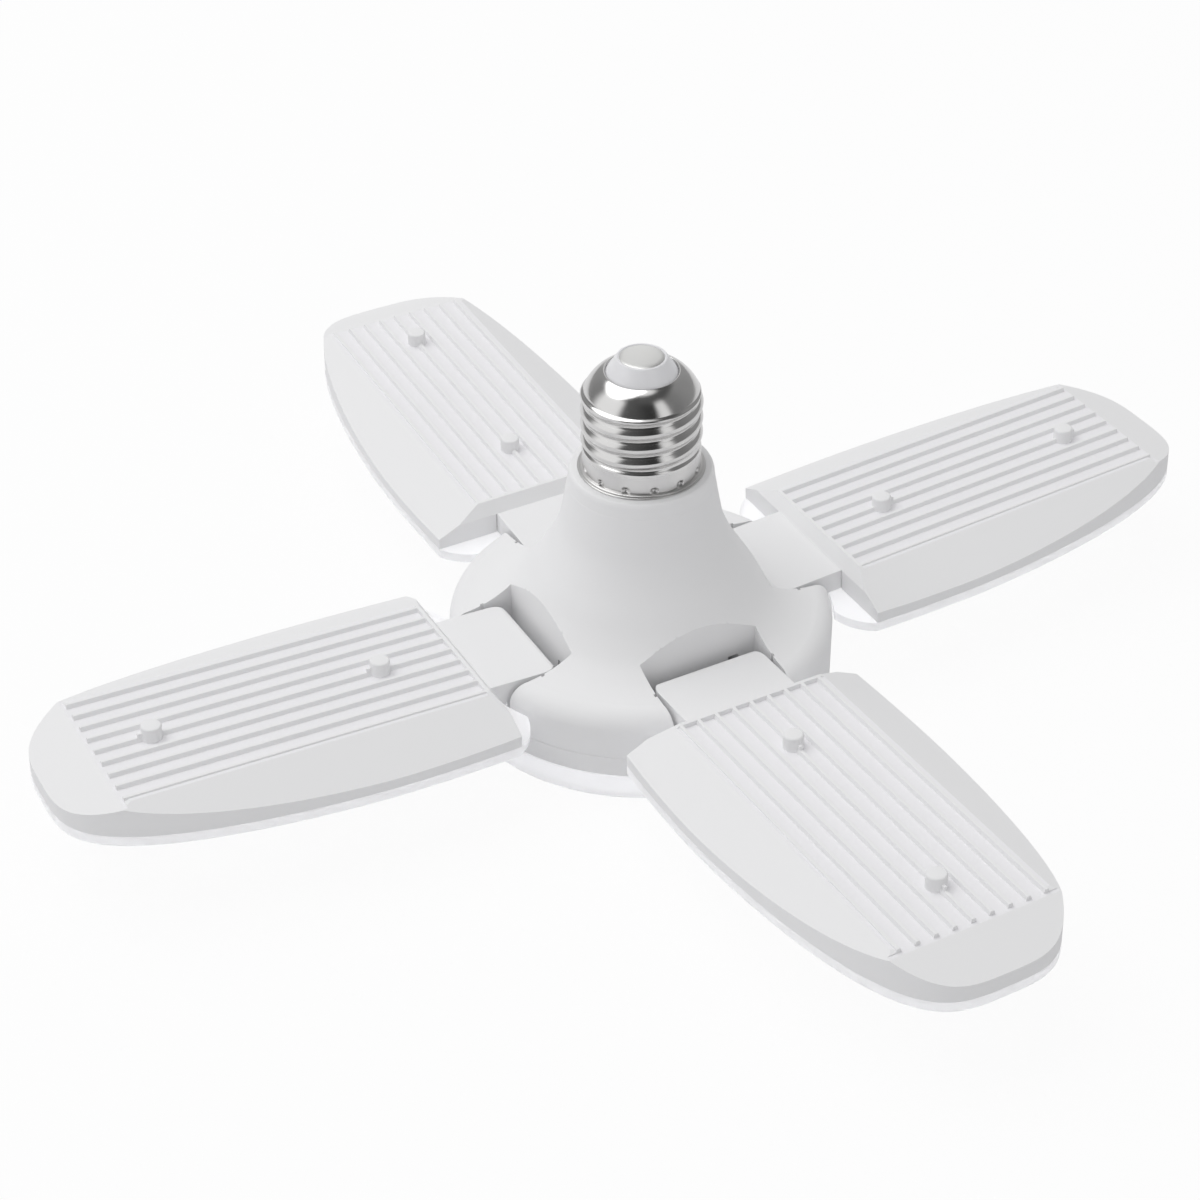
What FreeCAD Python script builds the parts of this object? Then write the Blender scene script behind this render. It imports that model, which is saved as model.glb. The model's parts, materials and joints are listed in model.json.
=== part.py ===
"""Deformable garage light: a screw-in hub with four hinged LED blades.

Millimetres, +Z up.  The origin is the tip of the centre contact, on the screw axis, so the
light hangs below it.  The blades point along +X, +Y, -X and -Y.  Each blade is drawn level in
its own frame, with its hinge axis on local Y at the origin, and is then turned up and placed.
"""
import FreeCAD
import Part
import math
import os
from FreeCAD import Placement, Rotation, Vector

# ---- screw base --------------------------------------------------------------------------
base_height = 27.4            # from the contact's tip to the foot of the screw shell
contact_radius = 4.9
contact_flat_radius = 1.4
contact_dome_height = 0.95
contact_rim_height = 0.25
contact_stem_radius = 1.0
contact_stem_length = 8.0
insulator_tip_radius = 5.4
insulator_radius = 7.8
insulator_cone_height = 3.0
insulator_depth = 4.2         # straight part, held inside the shell
shell_wall = 0.5
shell_mouth_radius = 7.95     # opening round the insulator
shell_mouth_rise = 0.35       # the shell's top edge stands this far over the cone's foot
shell_dome_facets = 3
shell_dome_height = 3.4
thread_root_radius = 12.2
thread_depth = 0.9
thread_pitch = 3.629
thread_length = 14.6          # from the dome down to the plain skirt
thread_ridge_width = 2.9
thread_crest_width = 0.9
thread_facets = 20            # flats to one turn
thread_run_in = 0.25          # turns over which each end fades
thread_end_share = 0.2        # of its full depth at the very end
thread_phase = 53.5           # where round the shell the ridge starts, in degrees
skirt_radius = 12.75
lip_radius = 13.85
lip_height = 1.2
lip_edge_height = 0.5

# ---- hub housing -------------------------------------------------------------------------
wall = 2.0                    # moulded wall of the housing and the lower plate
spigot_wall = 2.0
spigot_height = 11.8          # stands inside the screw shell
spigot_clearance = 0.2
neck_top_radius = 15.8
collar_rounding = 1.6
neck_foot_radius = 18.0
neck_height = 13.8
flare_height = 22.0
flare_shape = ((0.245, 0.468), (0.37, 0.665), (0.54, 0.852), (0.71, 0.935))   # out, down
flare_facets = 7              # conical bands down the bell
flare_hollow_facets = 3
edge_facets = 3
hub_radius = 42.8
hub_edge_rounding = 4.2
hollow_least_rounding = 0.5
hub_rim_height = 6.8          # straight outer wall above the seam

# ---- hinges ------------------------------------------------------------------------------
blade_count = 4
hinge_setback = 10.5          # from the hub's rim in to a hinge axis
hinge_height = 6.3            # above the lower plate
rest_angle = 2.78             # how far above level the blades stand as pictured
pin_radius = 1.25
pin_bore_clearance = 0.05
pin_press_clearance = 0.02
pin_boss_radius = 3.0
pin_boss_height = 1.3
pocket_back_gap = 7.2         # from a hinge axis in to its pocket's inner wall
arm_half_width = 13.4
arm_side_clearance = 1.0
pocket_groove_width = 0.8     # moulding groove over each pin end
pocket_groove_depth = 0.5
lead_slot_offset = 9.0
lead_slot_width = 2.6
lead_slot_drop = 2.3          # slot top and bottom, above and below the hinge axis
lead_slot_bottom = 2.2

# ---- lower plate, light board and cover of the hub -----------------------------------------
band_height = 4.9
cover_height = 6.5
cover_wall = 1.5
cover_edge_rounding = 1.0
cover_lip_height = 1.0
cover_lip_wall = 1.2
seat_clearance = 0.2
hub_board_setback = 12.8      # from the hub's rim in to the edge of its light board
board_thickness = 1.2
plate_screw_setback = 7.8     # from the hub's rim in to a plate screw
plate_screw_radius = 1.3
plate_screw_length = 9.0
plate_screw_head_radius = 2.6
plate_screw_head_height = 1.3
screw_clearance = 0.05
screw_tip_gap = 0.3
plate_boss_radius = 3.2
cable_hole_radius = 4.0
cable_hole_offset = 9.0
hub_led_ring_radius = 22.0
hub_led_ring_count = 12
led_length = 3.5
led_width = 2.8
led_height = 0.7

# ---- driver --------------------------------------------------------------------------------
driver_board_width = 22.0
driver_board_height = 40.0
driver_board_thickness = 1.6
driver_rail_height = 4.0
driver_rail_width = 3.0
transformer_size = (12.0, 9.0, 13.0)
transformer_side = -2.0       # these say how far across the board a piece sits
bulk_capacitor_side = -3.0
output_capacitor_side = 3.0
bridge_side = 3.0
chip_side = -5.0
resistor_side = 7.0
driver_piece_gap = 3.0        # between pieces up the board
driver_top_margin = 2.0
bulk_capacitor_radius = 4.0
bulk_capacitor_length = 11.0
output_capacitor_radius = 4.0
output_capacitor_length = 11.0
bridge_size = (6.0, 2.4, 5.0)
chip_size = (5.0, 1.6, 6.0)
resistor_radius = 1.3
resistor_length = 7.0
wire_radius = 0.6
shell_wire_offset = 8.0

# ---- blade housing ---------------------------------------------------------------------------
blade_length = 107.3          # from the hinge axis to the tip
blade_belly_reach = 38.0      # where the blade is widest
blade_belly_half_width = 29.3
blade_root_reach = 12.3
blade_root_step = 0.9         # the root is this much narrower, each side, than the belly
blade_length_power = 1.7      # how the sides run in to the tip
blade_width_power = 3.5
blade_arc_ends = (4.0, 26.0, 50.0, 90.0)   # where the outline's arcs meet, tip to belly
blade_wall = 1.8
rim_bottom = -0.4             # heights here are above the level hinge axis
rim_height_at_root = 2.8
root_face_height = 5.2        # upright part of the root face
lip_reach = 14.4              # top edge of the root face
lip_width = 0.8
plateau_half_width = 18.2
plateau_height = 7.6          # above the rim's bottom edge, to the side strips
rib_height = 1.0
rib_step = 0.4                # how far the ribs stand above the side strips
rib_width = 1.0
rib_pitch = 4.222
rib_count = 9
rib_end_setback = 0.8
tip_slope_length = 10.8
tip_rim_height = 3.5
peg_radius = 2.2
peg_height = 2.28             # above the ribs
root_peg_gap = 19.6           # from the root face to the first peg
tip_peg_gap = 24.0            # from the tip to the second
post_radius = 2.2
root_post = (21.7, 15.5)      # in from the root face, and aside
tip_post = (27.3, -12.5)      # back from the tip, and aside
hidden_facets = 8             # flats round posts, bosses and holes that stay out of sight

# ---- arm ---------------------------------------------------------------------------------------
arm_back = 4.4                # behind the hinge axis
arm_stop_gap = 0.4            # under the arm when the blade is level
arm_foot_reach = 8.1
arm_tongue_reach = 24.5
arm_corner_radius = 3.5
arm_back_rounding = 2.2
arm_screw_reach = 19.0
arm_screw_offset = 4.2
arm_screw_radius = 1.0
arm_screw_head_radius = 3.2
arm_screw_head_height = 1.3
arm_boss_radius = 2.5
arm_fit = 0.15                # between the arm, the window and the bosses
tongue_gap = 0.1              # the tongue's underside over the housing's rim
pin_cover = 1.0               # least material over the pin where the leads pass
lead_groove_height = 1.9
lead_groove_lap = 2.0

# ---- blade light board and cover -----------------------------------------------------------------
tray_height = 2.8
tray_wall = 1.2
tray_edge_rounding = 1.0
tray_lip_height = 0.8
tray_hub_gap = 0.6            # between the hub's rim and the hollow root edge
tray_horn_half_width = 19.6   # where that edge turns out to the corner
tray_horn_setback = 4.3       # the horn's most forward point, out from its inner end and
tray_horn_inset = 4.4         # in from the corner
blade_board_start = 25.6
blade_board_gap = 0.2         # above the cover's lip
blade_board_thickness = 1.0
board_screw_radius = 0.8
board_screw_head_radius = 2.0
board_screw_head_height = 0.8
board_screw_length = 3.0
blade_board_half_widths = (21.0, 11.0)     # at its root end and at its tip end
blade_board_tip_gap = 10.7
blade_board_taper_length = 25.0
led_rows = 2
led_row_pitch = 14.0
led_columns = 5
led_column_pitch = 10.0
led_first_column = 36.5

# ---- allowances for cutting and joining ------------------------------------------------------------
cut_over = 1.0                # a cutter stands this far clear of what it cuts
join_depth = 0.5              # a piece that grows from a wall starts this far inside it

# ---- places worked out from the sizes above --------------------------------------------------------
hinge_reach = hub_radius - hinge_setback
pocket_inner_wall = hinge_reach - pocket_back_gap
plate_screw_reach = hub_radius - plate_screw_setback
blade_root_half_width = blade_belly_half_width - blade_root_step
tip_slope_start = blade_length - tip_slope_length
peg_reaches = (blade_root_reach + root_peg_gap, blade_length - tip_peg_gap)
post_places = ((blade_root_reach + root_post[0], root_post[1]),
               (blade_length - tip_post[0], tip_post[1]))
collar_z = -base_height
neck_foot_z = collar_z - neck_height
shoulder_z = neck_foot_z - flare_height
seam_z = shoulder_z - hub_edge_rounding - hub_rim_height
hinge_z = seam_z + hinge_height
band_z = seam_z - band_height
cover_z = band_z - cover_height
plate_under_z = seam_z - wall
pocket_half_width = arm_half_width + arm_side_clearance
pin_half_length = pocket_half_width + wall + pin_boss_height
shoulder_radius = hub_radius - hub_edge_rounding
insulator_foot_z = -contact_dome_height - insulator_cone_height
spigot_radius = thread_root_radius - shell_wall - spigot_clearance
spigot_bore = spigot_radius - spigot_wall
shell_top_z = insulator_foot_z + shell_mouth_rise
thread_top_z = shell_top_z - shell_dome_height
thread_foot_z = thread_top_z - thread_length
strip_top = rim_bottom + plateau_height
rib_top = strip_top + rib_step
rib_floor = rib_top - rib_height
side_fall = (plateau_height - rim_height_at_root) / (blade_root_half_width - plateau_half_width)
arm_top = rib_floor - blade_wall
tray_bottom = rim_bottom - tray_height
tray_lip_top = rim_bottom + tray_lip_height
blade_board_under = tray_lip_top + blade_board_gap
blade_board_top = blade_board_under + blade_board_thickness
tongue_bottom = rim_bottom + tongue_gap
reach_beyond = 2.0 * hub_radius      # long enough to cut clear of anything


def save(shape, node):
    """Write one sub-part, cleaned of seams between coplanar faces."""
    shape = shape.removeSplitter()
    if not shape.isValid() or shape.Volume <= 0:
        raise ValueError("bad solid: " + node)
    shape.exportStep("parts/" + node + ".step")
    print("%-24s solids %2d  volume %10.1f" % (node, len(shape.Solids), shape.Volume))


def block(x0, x1, y0, y1, z0, z1):
    return Part.makeBox(x1 - x0, y1 - y0, z1 - z0, Vector(x0, y0, z0))


def rod(radius, z0, z1, x=0.0, y=0.0):
    return Part.makeCylinder(radius, z1 - z0, Vector(x, y, z0))


def prism(radius, z0, z1, x=0.0, y=0.0, sides=None, over=False):
    """A rod with flats in place of its round: inside the circle, or around it for a hole."""
    sides = sides or hidden_facets
    reach = radius / math.cos(math.pi / sides) if over else radius
    corners = [Vector(x + reach * math.cos(2 * math.pi * (i + 0.5) / sides),
                      y + reach * math.sin(2 * math.pi * (i + 0.5) / sides), z0)
               for i in range(sides)]
    return polygon(corners).extrude(Vector(0, 0, z1 - z0))


def cross_rod(radius, half_length, x=0.0, z=0.0):
    """A round bar along Y."""
    return Part.makeCylinder(radius, 2 * half_length, Vector(x, -half_length, z), Vector(0, 1, 0))


def line(a, b):
    return Part.LineSegment(a, b).toShape()


def arc(a, b, c):
    return Part.Arc(a, b, c).toShape()


def polygon(points):
    return Part.Face(Part.makePolygon(points + points[:1]))


def turned(profile):
    """Revolve a closed outline of (radius, height) points about the screw axis."""
    points = [Vector(r, 0, z) for r, z in profile]
    return polygon(points).revolve(Vector(0, 0, 0), Vector(0, 0, 1), 360)


def quarter_round(start, end, facets):
    """Points from start to end on a quarter ellipse that leaves outwards and arrives downwards."""
    points = []
    for step in range(facets + 1):
        angle = 0.5 * math.pi * step / facets
        points.append((start[0] + (end[0] - start[0]) * math.sin(angle),
                       end[1] + (start[1] - end[1]) * math.cos(angle)))
    return points


def solid_of(faces):
    """A closed solid from its faces, turned the right way out."""
    solid = Part.Solid(Part.Shell(faces))
    if solid.Volume < 0:
        solid.reverse()
    return solid


def round_the_hub(shape, count=blade_count, start=0.0):
    """Copies of a shape, evenly spaced round the screw axis."""
    copies = []
    for step in range(count):
        copy = shape.copy()
        copy.rotate(Vector(0, 0, 0), Vector(0, 0, 1), start + 360.0 * step / count)
        copies.append(copy)
    return copies


# ---- screw base ----------------------------------------------------------------------------

def centre_contact():
    """A domed button with a small flat tip and a rivet stem."""
    rim_z = -contact_dome_height + contact_rim_height
    dome = quarter_round((contact_flat_radius, 0.0), (contact_radius, rim_z), shell_dome_facets)
    button = turned([(0, 0)] + dome + [(contact_radius, -contact_dome_height),
                                       (0, -contact_dome_height)])
    stem = prism(contact_stem_radius, -contact_dome_height - contact_stem_length,
                 -contact_dome_height)
    return button.fuse(stem)


def base_insulator():
    """A blunt cone on a straight plug, bored for the contact's stem."""
    foot_z = insulator_foot_z - insulator_depth
    body = turned([
        (0, -contact_dome_height),
        (insulator_tip_radius, -contact_dome_height),
        (insulator_radius, insulator_foot_z),
        (insulator_radius, foot_z),
        (0, foot_z),
    ])
    return body.cut(prism(contact_stem_radius + screw_clearance, foot_z - cut_over, 0.0))


def thread_ridge():
    """The rolled thread: a right-hand helical ridge of small flats, run out at both ends."""
    root = thread_root_radius - 0.5 * shell_wall
    height = thread_length - thread_ridge_width
    count = int(round(thread_facets * height / thread_pitch))
    sections = []
    for step in range(count + 1):
        angle = math.radians(thread_phase + 360.0 * step / thread_facets)
        run_in = min(1.0, min(step, count - step) / (thread_run_in * thread_facets))
        full = thread_root_radius + thread_depth - root
        crest = root + full * (thread_end_share + (1.0 - thread_end_share) * run_in)
        middle = thread_foot_z + 0.5 * thread_ridge_width + height * step / count
        section = []
        for radius, offset in ((root, -0.5 * thread_ridge_width), (crest, -0.5 * thread_crest_width),
                               (crest, 0.5 * thread_crest_width), (root, 0.5 * thread_ridge_width)):
            section.append(Vector(radius * math.cos(angle), radius * math.sin(angle),
                                  middle + offset))
        sections.append(section)
    faces = [polygon(sections[0]), polygon(sections[-1])]
    for near, far in zip(sections, sections[1:]):
        for i in range(4):
            j = (i + 1) % 4
            faces.append(polygon([near[i], near[j], far[j]]))
            faces.append(polygon([near[i], far[j], far[i]]))
    return solid_of(faces)


def screw_shell():
    """Thin turned shell: dome, threaded part, plain skirt and flared lip."""
    outer = quarter_round((shell_mouth_radius, shell_top_z), (thread_root_radius, thread_top_z),
                          shell_dome_facets)
    outer += [
        (thread_root_radius, thread_foot_z),
        (skirt_radius, thread_foot_z - shell_wall),
        (skirt_radius, collar_z + lip_height),
        (lip_radius, collar_z + lip_edge_height),
        (lip_radius, collar_z),
    ]
    inner = [
        (skirt_radius - shell_wall, collar_z),
        (skirt_radius - shell_wall, thread_foot_z - 2 * shell_wall),
        (thread_root_radius - shell_wall, thread_foot_z - shell_wall),
        (thread_root_radius - shell_wall, thread_top_z - shell_wall),
        (shell_mouth_radius, shell_top_z - shell_wall),
    ]
    return turned(outer + inner).fuse(thread_ridge())


# ---- hub --------------------------------------------------------------------------------------

def flare_points(inset, facets):
    """Points down the bell from the neck's foot to the shoulder, moved in along the normal."""
    reach = shoulder_radius - neck_foot_radius
    shape = [(0.0, 0.0)] + list(flare_shape) + [(1.0, 1.0)]
    spline = Part.BSplineCurve()
    spline.interpolate([Vector(neck_foot_radius + out * reach, neck_foot_z - down * flare_height, 0)
                        for out, down in shape])
    points = []
    for step in range(facets + 1):
        at = spline.FirstParameter + (spline.LastParameter - spline.FirstParameter) * step / facets
        here = spline.value(at)
        along = spline.tangent(at)[0]
        points.append((here.x + inset * along.y, here.y - inset * along.x))
    return points


def bell(inset):
    """The solid bell, or its hollow where an inset is given."""
    flare = flare_points(inset, flare_hollow_facets if inset else flare_facets)
    top = collar_z - inset
    neck_radius = neck_top_radius - inset
    edge = max(hub_edge_rounding - inset, hollow_least_rounding)
    outer_radius = hub_radius - inset
    roof_z = flare[-1][1]
    rounding = quarter_round((outer_radius - edge, roof_z), (outer_radius, roof_z - edge),
                             1 if inset else edge_facets)
    collar = quarter_round((neck_radius - 0.5 * collar_rounding, top),
                           (neck_radius, top - collar_rounding), 1 if inset else 2)
    return turned([(0, top)] + collar + flare + rounding + [(outer_radius, seam_z), (0, seam_z)])


def pocket(grow):
    """Space cut for one arm, open outwards and upwards."""
    half = pocket_half_width + grow
    return block(pocket_inner_wall - grow, reach_beyond, -half, half, seam_z - cut_over, 0.0)


def hub_housing():
    """Bell and neck with a spigot for the shell, four arm pockets, pin bosses and screw bosses."""
    outer = bell(0.0)
    hollow = bell(wall).cut(round_the_hub(pocket(wall)))
    body = outer.cut([hollow] + round_the_hub(pocket(0.0)))

    spigot_top = collar_z + spigot_height
    body = body.fuse(rod(spigot_radius, collar_z - wall, spigot_top))
    body = body.cut(rod(spigot_bore, collar_z - 2 * wall, spigot_top + cut_over))

    pin_boss_face = pocket_half_width + wall + pin_boss_height
    pin_boss = block(hinge_reach - pin_boss_radius, hinge_reach + pin_boss_radius,
                     -pin_boss_face, pin_boss_face,
                     hinge_z - pin_boss_radius, hinge_z + pin_boss_radius)
    pin_boss = pin_boss.cut(block(0, reach_beyond, -pocket_half_width, pocket_half_width,
                                  cover_z, 0.0))
    body = body.fuse(round_the_hub(pin_boss))
    pin_bore = cross_rod(pin_radius + pin_press_clearance, pin_boss_face + cut_over,
                         hinge_reach, hinge_z)
    body = body.cut(round_the_hub(pin_bore))

    corner = 180.0 / blade_count
    screw_boss = prism(plate_boss_radius, seam_z, shoulder_z - 0.5 * wall, plate_screw_reach)
    body = body.fuse(round_the_hub(screw_boss, start=corner))
    pilot = prism(plate_screw_radius + screw_clearance, seam_z - cut_over,
                  plate_under_z + plate_screw_length + screw_tip_gap, plate_screw_reach, over=True)
    body = body.cut(round_the_hub(pilot, start=corner))

    half_groove = 0.5 * pocket_groove_width
    groove_half = pocket_half_width + pocket_groove_depth
    groove = block(hinge_reach - half_groove, hinge_reach + half_groove,
                   -groove_half, groove_half, hinge_z, 0.0)
    body = body.cut(round_the_hub(groove))

    half_slot = 0.5 * lead_slot_width
    slot = block(pocket_inner_wall - 2 * wall, pocket_inner_wall + cut_over,
                 lead_slot_offset - half_slot, lead_slot_offset + half_slot,
                 hinge_z - lead_slot_bottom, hinge_z + lead_slot_drop)
    return body.cut(round_the_hub(slot))


def hub_lower_plate():
    """Round plate with a deep rim, screw holes, a cable hole and rails for the driver board."""
    plate = rod(hub_radius, band_z, seam_z)
    plate = plate.cut(rod(hub_radius - wall, band_z - cut_over, plate_under_z))
    holes = [prism(cable_hole_radius, band_z, seam_z + cut_over, 0.0, cable_hole_offset)]
    hole = prism(plate_screw_radius + screw_clearance, band_z, seam_z + cut_over,
                 plate_screw_reach, over=True)
    holes += round_the_hub(hole, start=180.0 / blade_count)
    plate = plate.cut(holes)
    half_slot = 0.5 * driver_board_thickness + screw_clearance
    for side in (-1, 1):
        x = side * (0.5 * driver_board_width - driver_rail_width)
        rail = block(x - 0.5 * driver_rail_width, x + 0.5 * driver_rail_width,
                     -half_slot - wall, half_slot + wall,
                     seam_z - join_depth, seam_z + driver_rail_height)
        rail = rail.cut(block(-reach_beyond, reach_beyond, -half_slot, half_slot, seam_z, 0.0))
        plate = plate.fuse(rail)
    return plate


def hub_led_board():
    board = rod(hub_radius - hub_board_setback, plate_under_z - board_thickness, plate_under_z)
    return board.cut(prism(cable_hole_radius, band_z, seam_z, 0.0, cable_hole_offset))


def hub_leds():
    top = plate_under_z - board_thickness
    led = block(hub_led_ring_radius - 0.5 * led_length, hub_led_ring_radius + 0.5 * led_length,
                -0.5 * led_width, 0.5 * led_width, top - led_height, top)
    return Part.makeCompound(round_the_hub(led, hub_led_ring_count, 180.0 / hub_led_ring_count))


def hub_diffuser():
    """Milky dish that plugs into the plate's rim."""
    dish = rod(hub_radius, cover_z, band_z)
    lower_edge = [e for e in dish.Edges if abs(e.BoundBox.ZMax - cover_z) < 1e-6]
    dish = dish.makeChamfer(cover_edge_rounding, lower_edge)
    lip_radius_outer = hub_radius - wall - seat_clearance
    lip = rod(lip_radius_outer, band_z - join_depth, band_z + cover_lip_height)
    inside = rod(lip_radius_outer - cover_lip_wall, cover_z + cover_wall, seam_z)
    return dish.fuse(lip).cut(inside)


def screw(radius, length, head_radius, head_height):
    """A screw standing head down: the head's bearing face is at Z = 0 and the shank goes up."""
    head = prism(head_radius, -head_height, 0.0)
    return head.fuse(prism(radius, 0.0, length))


def hub_screws():
    one = screw(plate_screw_radius, plate_screw_length, plate_screw_head_radius,
                plate_screw_head_height)
    one.translate(Vector(plate_screw_reach, 0, plate_under_z))
    return Part.makeCompound(round_the_hub(one, start=180.0 / blade_count))


# ---- driver ---------------------------------------------------------------------------------------

driver_top_z = seam_z + driver_board_height
driver_face = 0.5 * driver_board_thickness


def driver_board():
    half = 0.5 * driver_board_width
    return block(-half, half, -driver_face, driver_face, seam_z, driver_top_z)


def on_board(size, x, z, side):
    """A box of the given width, depth and height on one face of the driver board."""
    width, depth, height = size
    y0 = driver_face if side > 0 else -driver_face - depth
    return block(x - 0.5 * width, x + 0.5 * width, y0, y0 + depth, z, z + height)


def can_on_board(radius, length, x, z, side):
    """A round can lying upright against one face of the driver board."""
    flat = radius * math.cos(math.pi / hidden_facets)
    return prism(radius, z, z + length, x, side * (driver_face + flat))


def driver_pieces():
    low = seam_z + driver_rail_height + driver_piece_gap
    high = driver_top_z - driver_top_margin
    over_transformer = low + transformer_size[2] + driver_piece_gap
    over_capacitor = low + output_capacitor_length + driver_piece_gap
    return {
        "driver_transformer": on_board(transformer_size, transformer_side, low, 1),
        "bulk_capacitor": can_on_board(bulk_capacitor_radius, bulk_capacitor_length,
                                       bulk_capacitor_side, over_transformer, 1),
        "output_capacitor": can_on_board(output_capacitor_radius, output_capacitor_length,
                                         output_capacitor_side, low, -1),
        "bridge_rectifier": on_board(bridge_size, bridge_side, high - bridge_size[2], -1),
        "driver_chip": on_board(chip_size, chip_side, over_capacitor, -1),
        "fusible_resistor": can_on_board(resistor_radius, resistor_length,
                                         resistor_side, high - resistor_length, 1),
    }


def contact_wire():
    top = -contact_dome_height - contact_stem_length
    return prism(wire_radius, driver_top_z, top)


def shell_wire():
    """Up from the board, over the spigot's rim and out to the inside of the shell."""
    top = collar_z + spigot_height + 2.0 * wire_radius
    upright = prism(wire_radius, driver_top_z, top, shell_wire_offset)
    end = thread_root_radius - shell_wall - screw_clearance
    across = prism(wire_radius, shell_wire_offset, end)
    across.rotate(Vector(0, 0, 0), Vector(0, 1, 0), 90)
    across.translate(Vector(0, 0, top - wire_radius))
    return upright.fuse(across)


# ---- blades ------------------------------------------------------------------------------------------

def blade_edge_point(degrees):
    """A point on the blade's plan outline: 0 is the tip and 90 the widest place."""
    angle = math.radians(degrees)
    span = blade_length - blade_belly_reach
    return (blade_belly_reach + span * math.cos(angle) ** (2.0 / blade_length_power),
            blade_belly_half_width * math.sin(angle) ** (2.0 / blade_width_power))


def blade_edge(inset):
    """Edges of the outline on the +Y side, from the root corner round to the tip's middle."""
    def moved(reach, width, along, across):
        length = math.hypot(along, across)
        return Vector(reach - inset * across / length, width + inset * along / length, 0)

    def on_side(degrees):
        step = 0.01
        before = blade_edge_point(degrees - step)
        after = blade_edge_point(degrees + step)
        reach, width = blade_edge_point(degrees)
        return moved(reach, width, after[0] - before[0], after[1] - before[1])

    root_x = blade_root_reach + inset
    back = blade_belly_reach - blade_root_reach
    swell = blade_belly_half_width - blade_root_half_width
    belly = Vector(blade_belly_reach, blade_belly_half_width - inset, 0)
    stops = list(blade_arc_ends)
    edges = [arc(Vector(root_x, blade_root_half_width - inset, 0),
                 Vector(root_x + 0.5 * (back - inset), belly.y - 0.25 * swell, 0), belly)]
    start = belly
    for high, low in zip(stops[:0:-1], stops[-2::-1]):
        middle = math.sqrt(high * low)
        end = on_side(low)
        edges.append(arc(start, on_side(middle), end))
        start = end
    tip = Vector(blade_length - inset, 0, 0)
    return edges, start, tip


def blade_prism(inset, low, high):
    """The blade's plan outline, moved inwards by the inset, between two heights."""
    edges, tip_side, tip = blade_edge(inset)
    mirror = [edge.mirror(Vector(0, 0, 0), Vector(0, 1, 0)) for edge in edges]
    tip_arc = arc(tip_side, tip, Vector(tip_side.x, -tip_side.y, 0))
    root_x = blade_root_reach + inset
    root_y = blade_root_half_width - inset
    root = line(Vector(root_x, -root_y, 0), Vector(root_x, root_y, 0))
    outline = Part.Wire(Part.__sortEdges__(edges + [tip_arc] + mirror + [root]))
    face = Part.Face(outline)
    face.translate(Vector(0, 0, low))
    return face.extrude(Vector(0, 0, high - low))


def above_line(first, second, along_y):
    """Everything above a sloping line, as a cutter: the line is drawn in X-Z or Y-Z."""
    slope = (second[1] - first[1]) / (second[0] - first[0])
    near = first[0] - reach_beyond
    far = first[0] + reach_beyond
    near_z = first[1] - slope * reach_beyond
    far_z = first[1] + slope * reach_beyond
    profile = [(near, near_z), (far, far_z), (far, far_z + reach_beyond),
               (near, near_z + reach_beyond)]
    if along_y:
        points = [Vector(x, -reach_beyond, z) for x, z in profile]
        return polygon(points).extrude(Vector(0, 2 * reach_beyond, 0))
    points = [Vector(-reach_beyond, y, z) for y, z in profile]
    return polygon(points).extrude(Vector(blade_length + 2 * reach_beyond, 0, 0))


def roof(inset):
    """The blade's roof form: outline, side slopes, root chamfer and tip slope."""
    top = (rib_top if inset == 0 else rib_floor - inset)
    form = blade_prism(inset, rim_bottom - (cut_over if inset else 0.0), top)
    side_shift = inset * math.hypot(1.0, side_fall)
    cutters = []
    for side in (-1, 1):
        inner = (side * plateau_half_width, strip_top - side_shift)
        outer = (side * blade_root_half_width, rim_bottom + rim_height_at_root - side_shift)
        cutters.append(above_line(*sorted((inner, outer)), along_y=False))
    tip_fall = (rib_floor - rim_bottom - tip_rim_height) / (blade_length - tip_slope_start)
    tip_shift = inset * math.hypot(1.0, tip_fall)
    cutters.append(above_line((tip_slope_start, rib_floor - tip_shift),
                              (blade_length, rim_bottom + tip_rim_height - tip_shift), True))
    face_top = rim_bottom + root_face_height
    chamfer = (rib_top - face_top) / (lip_reach - blade_root_reach)
    chamfer_shift = inset * math.hypot(1.0, chamfer)
    cutters.append(above_line((blade_root_reach, face_top - chamfer_shift),
                              (lip_reach, rib_top - chamfer_shift), True))
    return form.cut(cutters)


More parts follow.
